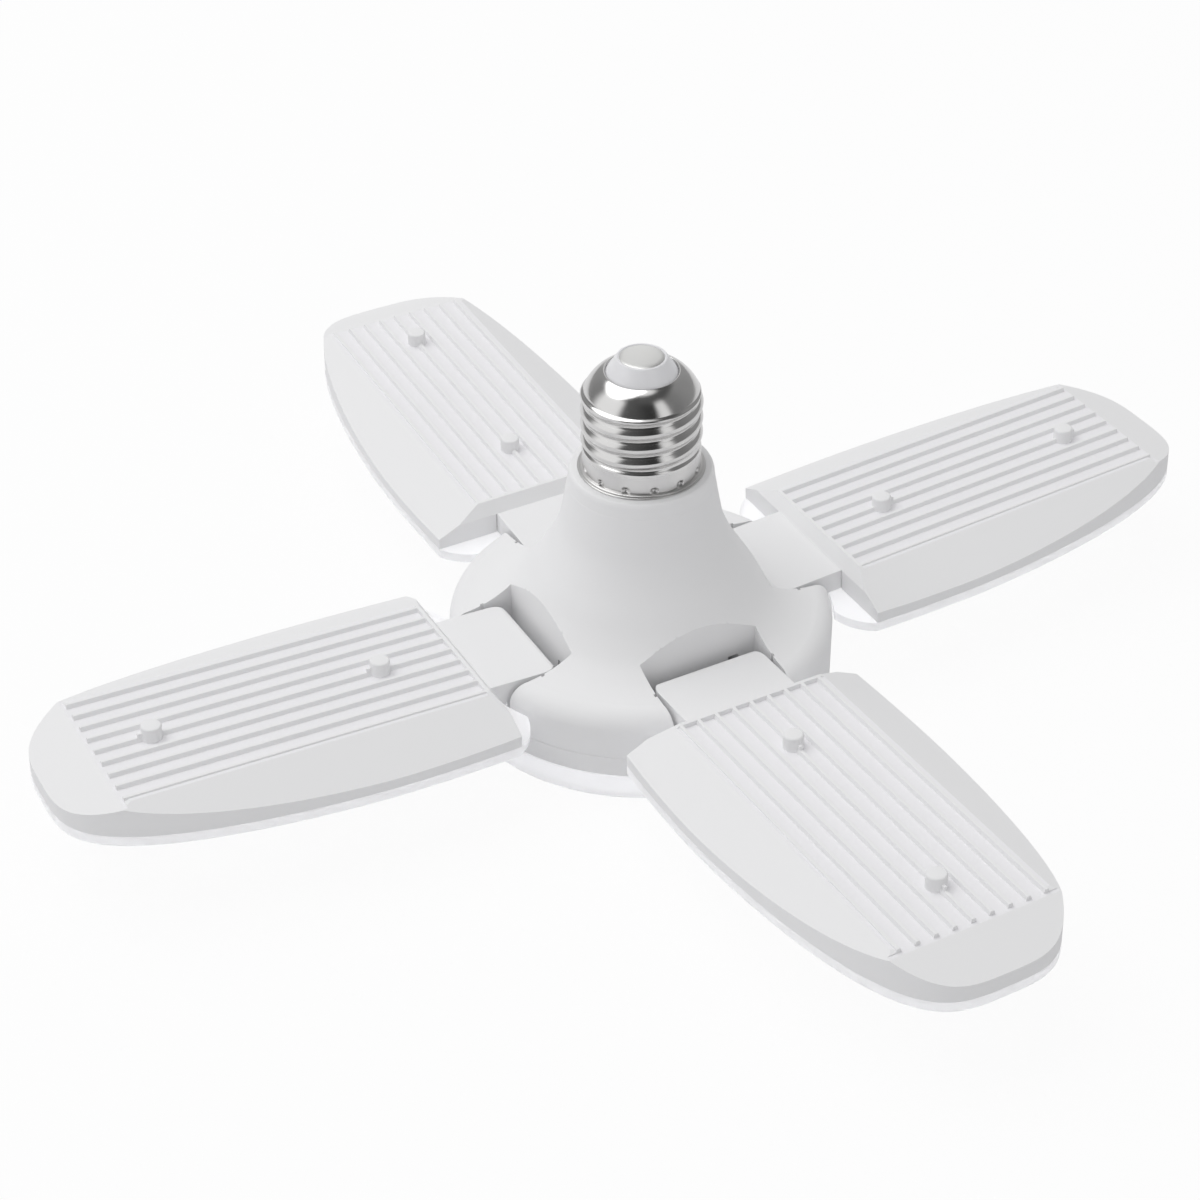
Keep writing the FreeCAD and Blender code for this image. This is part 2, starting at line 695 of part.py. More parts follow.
def blade_housing():
    """Ribbed heat-sink shell, hollow below, with pegs, board posts and arm bosses."""
    body = roof(0.0)
    trough_start = lip_reach + lip_width
    outer_rib = 0.5 * (rib_count - 1) * rib_pitch
    strip_edge = outer_rib + 0.5 * rib_width
    body = body.cut(block(trough_start, reach_beyond + blade_length, -outer_rib, outer_rib,
                          rib_floor, rib_top + cut_over))
    for side in (-1, 1):
        low, high = sorted((side * strip_edge, side * reach_beyond))
        body = body.cut(block(trough_start, reach_beyond + blade_length, low, high,
                              strip_top, rib_top + cut_over))
    ribs = []
    for index in range(rib_count):
        y = index * rib_pitch - outer_rib
        ribs.append(block(lip_reach + 0.5 * lip_width, tip_slope_start - rib_end_setback,
                          y - 0.5 * rib_width, y + 0.5 * rib_width,
                          rib_floor - join_depth, rib_top))
    tip_margin = blade_length + reach_beyond
    body = body.cut(block(tip_slope_start - rib_end_setback, tip_margin, -outer_rib - rib_width,
                          outer_rib + rib_width, rib_floor, rib_top + cut_over))
    pegs = []
    for reach in peg_reaches:
        pegs.append(rod(peg_radius, rib_floor - join_depth, rib_top + peg_height, reach))
    body = body.fuse(ribs + pegs)

    body = body.cut(roof(blade_wall))
    window = block(0.0, blade_root_reach + 2 * blade_wall, -arm_half_width - arm_fit,
                   arm_half_width + arm_fit, rim_bottom - cut_over, arm_top)
    body = body.cut(window)

    under_roof = rib_floor - blade_wall
    holders = []
    for reach, offset in post_places:
        post = prism(post_radius, blade_board_top, under_roof + join_depth, reach, offset)
        pilot = prism(board_screw_radius + screw_clearance, blade_board_top - cut_over,
                      blade_board_under + board_screw_length + screw_tip_gap, reach, offset,
                      over=True)
        holders.append(post.cut(pilot))
    for side in (-1, 1):
        boss = prism(arm_boss_radius, tongue_bottom + arm_fit, under_roof + join_depth,
                     arm_screw_reach, side * arm_screw_offset)
        pilot = prism(arm_screw_radius + screw_clearance, tongue_bottom - cut_over, under_roof,
                      arm_screw_reach, side * arm_screw_offset, over=True)
        holders.append(boss.cut(pilot))
    return body.fuse(holders)


def arm():
    """Hinge arm: a deep barrel end with a rounded back, and a tongue screwed into the housing."""
    foot = -hinge_height + arm_stop_gap
    back_turn = math.asin(arm_back / -foot)
    under_back = [back_turn * step / edge_facets for step in range(edge_facets + 1)]
    profile = [(foot * math.sin(turn), foot * math.cos(turn)) for turn in under_back] + [
        (-arm_back, arm_top - arm_back_rounding),
        (-arm_back + 0.3 * arm_back_rounding, arm_top - 0.3 * arm_back_rounding),
        (-arm_back + arm_back_rounding, arm_top),
        (arm_tongue_reach, arm_top),
        (arm_tongue_reach, tongue_bottom),
        (arm_foot_reach, tongue_bottom),
        (arm_foot_reach, foot),
    ]
    side = polygon([Vector(x, -arm_half_width, z) for x, z in profile])
    body = side.extrude(Vector(0, 2 * arm_half_width, 0))
    under = foot - cut_over
    radius = arm_corner_radius
    to_middle = radius * (1.0 - math.sqrt(0.5))
    for side in (-1, 1):
        y = side * arm_half_width
        near = Vector(-arm_back, y - side * radius, under)
        middle = Vector(-arm_back + to_middle, y - side * to_middle, under)
        far = Vector(-arm_back + radius, y, under)
        right = Vector(far.x, y + side * cut_over, under)
        outside = Vector(-arm_back - cut_over, right.y, under)
        left = Vector(outside.x, near.y, under)
        corner = Part.Face(Part.Wire([arc(near, middle, far), line(far, right),
                                      line(right, outside), line(outside, left),
                                      line(left, near)]))
        body = body.cut(corner.extrude(Vector(0, 0, arm_top - foot + 2 * cut_over)))
    body = body.cut(cross_rod(pin_radius + pin_bore_clearance, arm_half_width + cut_over))

    half_slot = 0.5 * lead_slot_width
    low = lead_slot_offset - half_slot
    high = lead_slot_offset + half_slot
    lead_way = [
        block(-arm_back - cut_over, arm_foot_reach, low, high, under, -pin_radius - pin_cover),
        block(arm_foot_reach - lead_groove_lap, arm_tongue_reach + cut_over, low, high,
              under, lead_groove_height),
    ]
    bosses = [prism(arm_boss_radius + arm_fit, tongue_bottom - cut_over, arm_top + cut_over,
                    arm_screw_reach, side * arm_screw_offset) for side in (-1, 1)]
    return body.cut(lead_way + bosses)


def hinge_pin():
    return cross_rod(pin_radius, pin_half_length)


def blade_board():
    """Flat board with a straight root part and a narrower tip end."""
    wide, narrow = blade_board_half_widths
    start = blade_board_start
    end = blade_length - blade_board_tip_gap
    shoulder = end - blade_board_taper_length
    corners = [(start, -wide), (shoulder, -wide), (end, -narrow),
               (end, narrow), (shoulder, wide), (start, wide)]
    board = polygon([Vector(x, y, blade_board_under) for x, y in corners])
    board = board.extrude(Vector(0, 0, blade_board_thickness))
    holes = [prism(board_screw_radius + screw_clearance, rim_bottom, arm_top, reach, offset,
                   over=True) for reach, offset in post_places]
    return board.cut(holes)


def blade_leds():
    packages = []
    for column in range(led_columns):
        for row in range(led_rows):
            x = led_first_column + column * led_column_pitch
            y = (row - 0.5 * (led_rows - 1)) * led_row_pitch
            packages.append(block(x - 0.5 * led_width, x + 0.5 * led_width,
                                  y - 0.5 * led_length, y + 0.5 * led_length,
                                  blade_board_under - led_height, blade_board_under))
    return Part.makeCompound(packages)


def blade_diffuser():
    """Milky tray under the blade, its root edge hollowed to the hub's round, its rim broken."""
    tray = blade_prism(0.0, tray_bottom, rim_bottom)
    half = tray_horn_half_width
    rim_clear = hub_radius + tray_hub_gap
    horn_reach = math.sqrt(rim_clear ** 2 - half ** 2) - hinge_reach
    horn_front = blade_root_reach - tray_horn_setback
    corner_width = blade_root_half_width
    root = Vector(blade_root_reach, corner_width, 0)
    front = Vector(horn_front, corner_width - tray_horn_inset, 0)
    horn = Vector(horn_reach, half, 0)
    far_root = Vector(root.x, -root.y, 0)
    far_horn = Vector(horn.x, -horn.y, 0)
    inside = Vector(root.x + cut_over, root.y, 0)
    far_inside = Vector(inside.x, -inside.y, 0)
    edges = [
        arc(root, front, horn),
        arc(horn, Vector(rim_clear - hinge_reach, 0, 0), far_horn),
        arc(far_horn, Vector(front.x, -front.y, 0), far_root),
        line(far_root, far_inside),
        line(far_inside, inside),
        line(inside, root),
    ]
    horns = Part.Face(Part.Wire(edges))
    horns.translate(Vector(0, 0, tray_bottom))
    tray = tray.fuse(horns.extrude(Vector(0, 0, tray_height))).removeSplitter()
    rim_edges = [e for e in tray.Edges if abs(e.BoundBox.ZMax - tray_bottom) < 1e-6
                 and e.BoundBox.XMax > blade_root_reach + cut_over]
    tray = tray.makeChamfer(tray_edge_rounding, rim_edges)

    lip_inset = blade_wall + seat_clearance
    lip = blade_prism(lip_inset, rim_bottom - join_depth, tray_lip_top)
    tray = tray.fuse(lip)
    hollow = blade_prism(lip_inset + tray_wall, tray_bottom + tray_wall, tray_lip_top + cut_over)
    root_gap = block(0.0, blade_board_start, -reach_beyond, reach_beyond,
                     rim_bottom, tray_lip_top + cut_over)
    return tray.cut([hollow, root_gap])


def blade_screws():
    """Two arm screws and two board screws."""
    screws = []
    for side in (-1, 1):
        one = screw(arm_screw_radius, arm_top - tongue_bottom - screw_tip_gap, arm_screw_head_radius,
                    arm_screw_head_height)
        one.translate(Vector(arm_screw_reach, side * arm_screw_offset, tongue_bottom))
        screws.append(one)
    for reach, offset in post_places:
        one = screw(board_screw_radius, board_screw_length, board_screw_head_radius,
                    board_screw_head_height)
        one.translate(Vector(reach, offset, blade_board_under))
        screws.append(one)
    return Part.makeCompound(screws)


def place_blade(shape, index):
    """Turn a level blade piece up to its rest angle and carry it to its hinge on the hub."""
    lift = Placement(Vector(hinge_reach, 0, hinge_z), Rotation(Vector(0, -1, 0), rest_angle))
    spin = Placement(Vector(0, 0, 0), Rotation(Vector(0, 0, 1), 360.0 * index / blade_count))
    placed = shape.copy()
    placed.Placement = spin.multiply(lift).multiply(shape.Placement)
    return placed


def build():
    os.makedirs("parts", exist_ok=True)
    save(screw_shell(), "screw_shell")
    save(base_insulator(), "base_insulator")
    save(centre_contact(), "centre_contact")
    save(hub_housing(), "hub_housing")
    save(hub_lower_plate(), "hub_lower_plate")
    save(hub_led_board(), "hub_led_board")
    save(hub_leds(), "hub_leds")
    save(hub_diffuser(), "hub_diffuser")
    save(hub_screws(), "hub_screws")
    save(driver_board(), "driver_board")
    for node, shape in driver_pieces().items():
        save(shape, node)
    save(contact_wire(), "contact_wire")
    save(shell_wire(), "shell_wire")

    blade_pieces = {
        "housing": blade_housing(),
        "arm": arm(),
        "hinge_pin": hinge_pin(),
        "led_board": blade_board(),
        "leds": blade_leds(),
        "diffuser": blade_diffuser(),
        "screws": blade_screws(),
    }
    for index, name in enumerate(("right", "back", "left", "front")):
        for piece, shape in blade_pieces.items():
            save(place_blade(shape, index), name + "_" + piece)


build()
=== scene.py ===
"""Looks for a screw-in light with a bell-shaped hub and four folding, ribbed light blades.

Laid out as an add-on and run as a script.  Pieces are drawn in millimetres, in the frame of the
packed model, and their meshes are brought to metres at the end.  A blade piece is drawn level,
its hinge axis on Y at the origin, and is then lifted and carried to its hinge.
"""

import json
import math
from functools import partial

import bmesh
import bpy
from bpy.props import FloatProperty, FloatVectorProperty, IntProperty, PointerProperty
from mathutils import Matrix, Vector


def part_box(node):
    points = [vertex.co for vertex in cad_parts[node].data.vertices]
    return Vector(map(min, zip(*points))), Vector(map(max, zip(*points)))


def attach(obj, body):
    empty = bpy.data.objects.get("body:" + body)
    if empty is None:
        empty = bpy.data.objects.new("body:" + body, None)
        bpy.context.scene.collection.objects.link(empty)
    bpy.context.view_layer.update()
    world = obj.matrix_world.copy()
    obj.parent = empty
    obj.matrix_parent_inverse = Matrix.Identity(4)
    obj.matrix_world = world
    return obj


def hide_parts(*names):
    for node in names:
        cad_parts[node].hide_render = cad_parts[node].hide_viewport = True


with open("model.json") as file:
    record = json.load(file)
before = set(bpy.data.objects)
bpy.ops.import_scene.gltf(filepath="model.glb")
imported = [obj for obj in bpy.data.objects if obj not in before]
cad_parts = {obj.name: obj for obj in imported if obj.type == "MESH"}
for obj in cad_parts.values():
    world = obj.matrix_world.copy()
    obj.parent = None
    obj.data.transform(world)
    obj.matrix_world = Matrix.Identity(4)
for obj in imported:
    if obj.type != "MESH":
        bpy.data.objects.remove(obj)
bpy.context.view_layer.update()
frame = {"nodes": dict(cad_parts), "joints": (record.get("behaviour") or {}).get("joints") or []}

bl_info = {
    "name": "Folding garage light",
    "version": (1, 0, 0),
    "blender": (4, 5, 0),
    "location": "View3D > Sidebar > Garage light",
    "description": "Dresses the packed garage light: screw base, bell hub, hinge arms and blades",
    "category": "Object",
}

# ---- places read from the packed model, in millimetres -------------------------------------------
metres = 0.001
band_height = 4.9                               # of the lower plate's rim, under the bell


def reach_of(node, corner, axis):
    """One coordinate of a packed node's box, in millimetres."""
    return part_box(node)[corner][axis] / metres


sides = ("right", "back", "left", "front")
turns = [0.5 * math.pi * index for index in range(len(sides))]
hinge = next(joint for joint in frame["joints"] if joint["child"] == "right_blade")
hinge_reach = hinge["pos_m"][0] / metres
hinge_z = hinge["pos_m"][2] / metres
rest_angle = -hinge["range_deg"][0]
hub_radius = reach_of("hub_lower_plate", 1, 0)
band_z = reach_of("hub_lower_plate", 0, 2)
cover_z = reach_of("hub_diffuser", 0, 2)
collar_z = reach_of("screw_shell", 0, 2)
seam_z = band_z + band_height

# ---- sizes of the pieces, in millimetres ---------------------------------------------------------
margin = 1.0                                    # how far a cutting shape passes what it cuts
touching = 0.001                                # points nearer than this are one point

contact_line = ((0.0, 0.0), (1.6, -0.02), (2.9, -0.08), (3.9, -0.17), (4.5, -0.27), (4.8, -0.42),
                (4.86, -0.7), (0.0, -0.7))
insulator_line = ((0.0, -0.5), (4.9, -0.5), (5.0, -0.36), (5.2, -0.3), (5.42, -0.4), (5.62, -0.68),
                  (7.5, -3.55), (7.78, -4.1), (7.8, -8.1), (0.0, -8.1))
shell_dome = ((7.72, -4.6), (7.76, -4.0), (7.86, -3.7), (8.05, -3.6), (8.34, -3.71), (8.95, -4.05),
              (9.66, -4.59), (10.4, -5.29), (11.12, -6.13), (11.76, -7.05), (12.2, -7.85))
shell_liner = 11.65                             # radius of the shell's inside
shell_root = 12.2
thread_foot = -22.0
crest_power = 0.7                               # under 1 makes the crests broader than the roots
line_level = 0.16                               # where on the wave the fine rolling lines lie
line_spread = 0.08
thread_top_fade = 0.9                           # lengths along the axis
thread_foot_fade = 1.8
top_flare_reach = 1.6
foot_flare_reach = 0.8
dimple_floor = 0.75                             # share of a dimple's radius that its slope takes
skirt_radius = 12.78
skirt_foot = -26.5
shell_lip = ((13.15, -26.58), (13.42, -26.68), (13.5, -26.8), (13.38, -26.9), (13.42, -26.98),
             (13.75, -27.05), (13.85, -27.2), (13.7, -27.38), (12.2, -27.38))

neck_line = ((15.8, -29.1), (16.05, -30.9), (15.98, -31.05), (16.12, -31.2), (16.4, -32.9),
             (17.1, -36.9), (18.0, -41.2), (19.35, -44.8), (21.05, -48.3), (23.05, -51.6),
             (25.6, -55.7), (28.9, -59.5), (32.5, -61.7), (35.6, -62.75), (38.4, -63.25))
collar_rounding = 1.6
hub_rounding = 4.2
hub_wall = 2.0
pocket_wall_reach = 25.1
pocket_half = 14.4
groove_width = 0.8
groove_depth = 0.5
pocket_cut_reach = 90.0
lead_slot = (7.7, 10.3, -2.2, 2.3)              # from and to across, below and above the hinge
cover_rounding = 1.3
cover_wall = 1.5

arm_half = 13.4
arm_back = 4.4
arm_barrel = 5.9
arm_foot_reach = 8.1
arm_tongue_reach = 24.5
arm_tongue_lift = 0.1                           # over the housing's rim
arm_top = 4.8
arm_corner = 3.5
arm_top_rounding = 1.5
arm_plan_reach = 40.0
arm_plan_height = 20.0

blade_length = 107.3
length_power = 1.7                              # how the sides run in to the tip
width_power = 3.5
belly_reach = 38.0
belly_half = 29.3
root_reach = 12.3
root_half = 28.4
rim_bottom = -0.4
root_face_top = 4.8
lip_reach = 14.4
lip_end = 15.2
ridge_top = 7.6
floor_top = 6.6
strip_top = 7.2
plateau_half = 18.2
root_rim_top = 2.4
tip_slope_start = 96.5
tip_rim_top = 3.1
past_tip = 140.0
past_side = 60.0
blade_wall = 1.8
window_gap = 0.15
rib_end = 95.7
rib_top_share = 0.8                             # of the rib's width
rib_foot_share = 1.6
rib_root = 0.5                                  # how deep the ribs stand in the field
rib_in_lip = 0.05
rib_sink = 0.02                                 # ribs end this much under the lip's top
peg_reaches = (31.9, 83.3)
peg_bevel = ((0.45, 0.0), (0.2, 0.12), (0.0, 0.42))   # in from the side, down from the top
peg_draft = 0.04
peg_root = 0.3
web_root = 0.5                                  # how far the web starts inside its peg
web_reach = 0.9
web_half = 0.35
web_height = 0.9
web_edge = 0.12
tray_bottom = -3.2
tray_wall = 1.2
tray_seat = 0.2                                 # between the housing's wall and the tray's
tray_top_edge = 0.15
tray_gap = 0.6                                  # between the hub's rim and the tray's root edge
tray_horn_half = 19.6
tray_horn_front = (8.0, 24.0)


# ---- settings a user would change ----------------------------------------------------------------

class ScrewBaseSettings(bpy.types.PropertyGroup):
    """Sizes of the rolled screw shell."""
    thread_pitch: FloatProperty(
        name="Thread pitch", description="Rise of the rolled thread in one turn",
        default=0.003629, unit="LENGTH", precision=5)
    thread_depth: FloatProperty(
        name="Thread depth", description="Height of the thread's crest over its root",
        default=0.0009, unit="LENGTH", precision=5)
    line_depth: FloatProperty(
        name="Rolling line depth", description="Depth of the fine lines beside each crest",
        default=0.00005, unit="LENGTH", precision=6)
    dimple_count: IntProperty(
        name="Dimples", description="Punched dimples round the plain skirt", default=13, min=1)
    dimple_radius: FloatProperty(
        name="Dimple radius", description="Reach of one punched dimple",
        default=0.00095, unit="LENGTH", precision=5)
    dimple_depth: FloatProperty(
        name="Dimple depth", description="How deep a dimple is pressed in",
        default=0.0006, unit="LENGTH", precision=5)
    dimple_turn: FloatProperty(
        name="First dimple", description="Where round the skirt the first dimple is",
        default=math.radians(4.0), subtype="ANGLE")


class HubSettings(bpy.types.PropertyGroup):
    """Softness of the moulded hub's edges."""
    pocket_edge: FloatProperty(
        name="Pocket edge", description="Rounding along the edges of the four arm pockets",
        default=0.0006, unit="LENGTH", precision=5)
    seam_chamfer: FloatProperty(
        name="Seam chamfer", description="Broken edge on both sides of the hub's seams",
        default=0.00018, unit="LENGTH", precision=5)
    arm_edge: FloatProperty(
        name="Arm edge", description="Rounding along the hinge arms' edges",
        default=0.0005, unit="LENGTH", precision=5)


class BladeSettings(bpy.types.PropertyGroup):
    """Ribs, pegs and edges of a blade."""
    rib_count: IntProperty(name="Ribs", description="Cooling ribs on one blade", default=9, min=1)
    rib_pitch: FloatProperty(
        name="Rib pitch", description="Distance from one rib to the next",
        default=0.004222, unit="LENGTH", precision=5)
    rib_width: FloatProperty(
        name="Rib width", description="Width of one rib", default=0.001, unit="LENGTH", precision=5)
    rib_edge: FloatProperty(
        name="Rib edge", description="Rounding of a rib's upper edges",
        default=0.00022, unit="LENGTH", precision=5)
    peg_radius: FloatProperty(
        name="Peg radius", description="Radius of the two pegs", default=0.0022, unit="LENGTH",
        precision=5)
    peg_height: FloatProperty(
        name="Peg height", description="How far a peg stands over the ribs",
        default=0.00228, unit="LENGTH", precision=5)
    housing_edge: FloatProperty(
        name="Housing edge", description="Rounding along the housing's edges",
        default=0.0003, unit="LENGTH", precision=5)
    tray_edge: FloatProperty(
        name="Cover edge", description="Rounding along the lower edge of the milky cover",
        default=0.001, unit="LENGTH", precision=5)


class FinishSettings(bpy.types.PropertyGroup):
    """Colours of what shows."""
    housing: FloatVectorProperty(
        name="Housing", description="Colour of the moulded white plastic", subtype="COLOR",
        default=(0.82, 0.815, 0.84), min=0.0, max=1.0)
    # the ribbed field is the same white plastic, finely textured; its colour is lifted above the
    # housing's as painted light that offsets the shade between the ribs
    textured: FloatVectorProperty(
        name="Ribbed field", description="Colour of the finely textured field under the ribs",
        subtype="COLOR", default=(0.91, 0.905, 0.925), min=0.0, max=1.0)
    cover: FloatVectorProperty(
        name="Milky cover", description="Colour of the translucent covers", subtype="COLOR",
        default=(0.94, 0.94, 0.955), min=0.0, max=1.0)
    nickel: FloatVectorProperty(
        name="Nickel", description="Colour of the plated screw shell", subtype="COLOR",
        default=(0.70, 0.695, 0.69), min=0.0, max=1.0)
    insulator: FloatVectorProperty(
        name="Insulator", description="Colour of the insulating ring", subtype="COLOR",
        default=(0.84, 0.84, 0.86), min=0.0, max=1.0)


class ViewSettings(bpy.types.PropertyGroup):
    """Camera, lamp and floor."""
    lens: FloatProperty(
        name="Lens", description="Focal length on a 36 mm wide sensor", default=80.551,
        unit="CAMERA")
    turn: FloatProperty(
        name="Turn", description="How far the light is turned under the camera",
        default=0.496247, subtype="ANGLE")
    tilt: FloatProperty(
        name="Tilt", description="How far the camera looks down", default=0.635569, subtype="ANGLE")
    roll: FloatProperty(
        name="Roll", description="Turn of the picture about the line of sight",
        default=-0.006658, subtype="ANGLE")
    distance: FloatProperty(
        name="Distance", description="From the camera to the plane of the aim point",
        default=0.596551, unit="LENGTH")
    aim_height: FloatProperty(
        name="Aim height", description="Height of the aim point on the screw axis",
        default=-0.05965, unit="LENGTH", precision=5)
    aim_right: FloatProperty(
        name="Aim to the right", description="How far right of the middle the aim point is seen",
        default=0.009081, unit="LENGTH", precision=6)
    aim_up: FloatProperty(
        name="Aim up", description="How far over the middle the aim point is seen",
        default=0.003196, unit="LENGTH", precision=6)
    room_level: FloatProperty(
        name="Room light", description="Strength of the even light from all round",
        default=0.52, min=0.0)
    key_level: FloatProperty(
        name="Key lamp", description="Power of the large lamp high up on the left",
        default=9.6, unit="POWER", min=0.0)
    floor_lift: FloatProperty(
        name="Floor lift", description="Share of plain white in what the camera sees of the floor",
        default=0.93, min=0.0, max=1.0, subtype="FACTOR")


settings = (
    ("light_base", ScrewBaseSettings),
    ("light_hub", HubSettings),
    ("light_blades", BladeSettings),
    ("light_finish", FinishSettings),
    ("light_view", ViewSettings),
)


def in_mm(length):
    """A setting's length, which is in metres, in the script's millimetres."""
    return length / metres


# ---- mesh helpers --------------------------------------------------------------------------------

def add_object(name, mesh):
    """A new object in the scene with this mesh."""
    piece = bpy.data.objects.new(name, mesh)
    bpy.context.scene.collection.objects.link(piece)
    return piece


def from_bmesh(name, shape):
    """A piece from a bmesh, its faces turned outwards."""
    bmesh.ops.recalc_face_normals(shape, faces=shape.faces)
    mesh = bpy.data.meshes.new(name)
    shape.to_mesh(mesh)
    shape.free()
    return add_object(name, mesh)


def drop(piece):
    """Take a helper piece out of the file, mesh and all."""
    mesh = piece.data
    bpy.data.objects.remove(piece)
    if mesh.users == 0:
        bpy.data.meshes.remove(mesh)


def apply_modifiers(piece):
    """Put what the modifiers make in the place of the piece's mesh."""
    evaluated = piece.evaluated_get(bpy.context.evaluated_depsgraph_get())
    mesh = bpy.data.meshes.new_from_object(evaluated)
    piece.modifiers.clear()
    old = piece.data
    piece.data = mesh
    bpy.data.meshes.remove(old)


def carve(piece, tools, operation="DIFFERENCE"):
    """Cut each tool out of the piece, or keep only what they share, and drop the tools."""
    for tool in tools:
        modifier = piece.modifiers.new("carve", "BOOLEAN")
        modifier.solver = "EXACT"
        modifier.operation = operation
        modifier.object = tool
        apply_modifiers(piece)
        drop(tool)


def soften(piece, width, segments=2, angle=30.0):
    """Round the edges where faces meet at more than the angle."""
    modifier = piece.modifiers.new("soften", "BEVEL")
    modifier.width = width
    modifier.segments = segments
    modifier.limit_method = "ANGLE"
    modifier.angle_limit = math.radians(angle)
    modifier.miter_outer = "MITER_ARC"
    apply_modifiers(piece)


def smooth(piece, angle=32.0):
    """Smooth shading between faces that meet at less than the angle, led by the large faces."""
    shape = bmesh.new()
    shape.from_mesh(piece.data)
    limit = math.radians(angle)
    for face in shape.faces:
        face.smooth = True
    for edge in shape.edges:
        edge.smooth = len(edge.link_faces) == 2 and edge.calc_face_angle(0.0) < limit
    shape.to_mesh(piece.data)
    shape.free()
    modifier = piece.modifiers.new("weighted", "WEIGHTED_NORMAL")
    modifier.keep_sharp = True
    apply_modifiers(piece)


def paint(piece, *materials):
    """Give the piece these material slots and no others."""
    piece.data.materials.clear()
    for material in materials:
        piece.data.materials.append(material)


def box(x0, x1, y0, y1, z0, z1, turn=0.0):
    """A block between these planes, turned about Z."""
    shape = bmesh.new()
    bmesh.ops.create_cube(shape, size=1.0)
    for vertex in shape.verts:
        vertex.co = Vector((x0 if vertex.co.x < 0 else x1,
                            y0 if vertex.co.y < 0 else y1,
                            z0 if vertex.co.z < 0 else z1))
    bmesh.ops.transform(shape, matrix=Matrix.Rotation(turn, 4, "Z"), verts=shape.verts)
    return from_bmesh("block", shape)


def lathe(name, line, steps=192, closed=False):
    """Turn a line of (radius, height) points about Z; a point on the axis stays one point.

    A closed line is a ring's section: its last point is joined to its first.
    """
    shape = bmesh.new()
    rings = []
    for radius, height in line:
        if radius < 1e-9:
            rings.append([shape.verts.new((0.0, 0.0, height))] * steps)
            continue
        ring = []
        for step in range(steps):
            angle = 2 * math.pi * step / steps
            ring.append(shape.verts.new((radius * math.cos(angle), radius * math.sin(angle), height)))
        rings.append(ring)
    pairs = list(zip(rings, rings[1:]))
    if closed:
        pairs.append((rings[-1], rings[0]))
    for upper, lower in pairs:
        for step in range(steps):
            after = (step + 1) % steps
            corners = [upper[step], upper[after], lower[after], lower[step]]
            kept = [v for i, v in enumerate(corners) if v is not corners[i - 1]]
            if len(set(kept)) > 2:
                shape.faces.new(kept)
    return from_bmesh(name, shape)


def prism(name, outline, z0, z1):
    """Raise a plan outline of (x, y) points between two heights."""
    shape = bmesh.new()
    low = [shape.verts.new((x, y, z0)) for x, y in outline]
    high = [shape.verts.new((x, y, z1)) for x, y in outline]
    shape.faces.new(low)
    shape.faces.new(high)
    for i in range(len(outline)):
        j = (i + 1) % len(outline)
        shape.faces.new((low[i], low[j], high[j], high[i]))
    return from_bmesh(name, shape)


def shave(piece, point, normal):
    """Take off everything on the normal's side of a plane, and close the piece there."""
    shape = bmesh.new()
    shape.from_mesh(piece.data)
    everything = shape.verts[:] + shape.edges[:] + shape.faces[:]
    cut = bmesh.ops.bisect_plane(shape, geom=everything, dist=1e-5, plane_co=Vector(point),
                                 plane_no=Vector(normal).normalized(), clear_outer=True)
    rim = [e for e in cut["geom_cut"] if isinstance(e, bmesh.types.BMEdge)]
    bmesh.ops.edgeloop_fill(shape, edges=rim)
    bmesh.ops.recalc_face_normals(shape, faces=shape.faces)
    shape.to_mesh(piece.data)
    shape.free()


def quarter(start, end, steps):
    """Points on a quarter ellipse that leaves the start outwards and meets the end downwards."""
    points = []
    for step in range(steps + 1):
        angle = 0.5 * math.pi * step / steps
        points.append((start[0] + (end[0] - start[0]) * math.sin(angle),
                       end[1] + (start[1] - end[1]) * math.cos(angle)))
    return points


def flowing(points, steps):
    """A smooth line through the points."""
    path = []
    for i in range(len(points) - 1):
        before = Vector(points[max(i - 1, 0)])
        here = Vector(points[i])
        after = Vector(points[i + 1])
        beyond = Vector(points[min(i + 2, len(points) - 1)])
        leave = (after - before) * 0.5
        arrive = (beyond - here) * 0.5
        for step in range(steps):
            t = step / steps
            leave_share = t * (1 - t) ** 2
            arrive_share = t * t * (t - 1)
            near_share = (1 + 2 * t) * (1 - t) ** 2
            far_share = t * t * (3 - 2 * t)
            spot = here * near_share + after * far_share + leave * leave_share + arrive * arrive_share
            path.append((spot.x, spot.y))
    path.append(tuple(points[-1]))
    return path


def arc_points(a, b, c, steps):
    """Points from a to c on the circle through a, b and c."""
    ax, ay = a
    bx, by = b
    cx, cy = c
    d = 2 * (ax * (by - cy) + bx * (cy - ay) + cx * (ay - by))
    a2, b2, c2 = ax * ax + ay * ay, bx * bx + by * by, cx * cx + cy * cy
    ux = (a2 * (by - cy) + b2 * (cy - ay) + c2 * (ay - by)) / d
    uy = (a2 * (cx - bx) + b2 * (ax - cx) + c2 * (bx - ax)) / d
    radius = math.hypot(ax - ux, ay - uy)
    first = math.atan2(ay - uy, ax - ux)
    turn = (math.atan2(cy - uy, cx - ux) - first) % (2 * math.pi)
    middle = (math.atan2(by - uy, bx - ux) - first) % (2 * math.pi)
    if middle > turn:
        turn -= 2 * math.pi
    return [(ux + radius * math.cos(first + turn * i / steps),
             uy + radius * math.sin(first + turn * i / steps)) for i in range(steps + 1)]


def moved_in(line, inset):
    """The line moved sideways by the inset, to the right of its direction."""
    moved = []
    for i, (x, y) in enumerate(line):
        before = line[max(i - 1, 0)]
        after = line[min(i + 1, len(line) - 1)]
        along = Vector((after[0] - before[0], after[1] - before[1])).normalized()
        moved.append((x + inset * along.y, y - inset * along.x))
    return moved


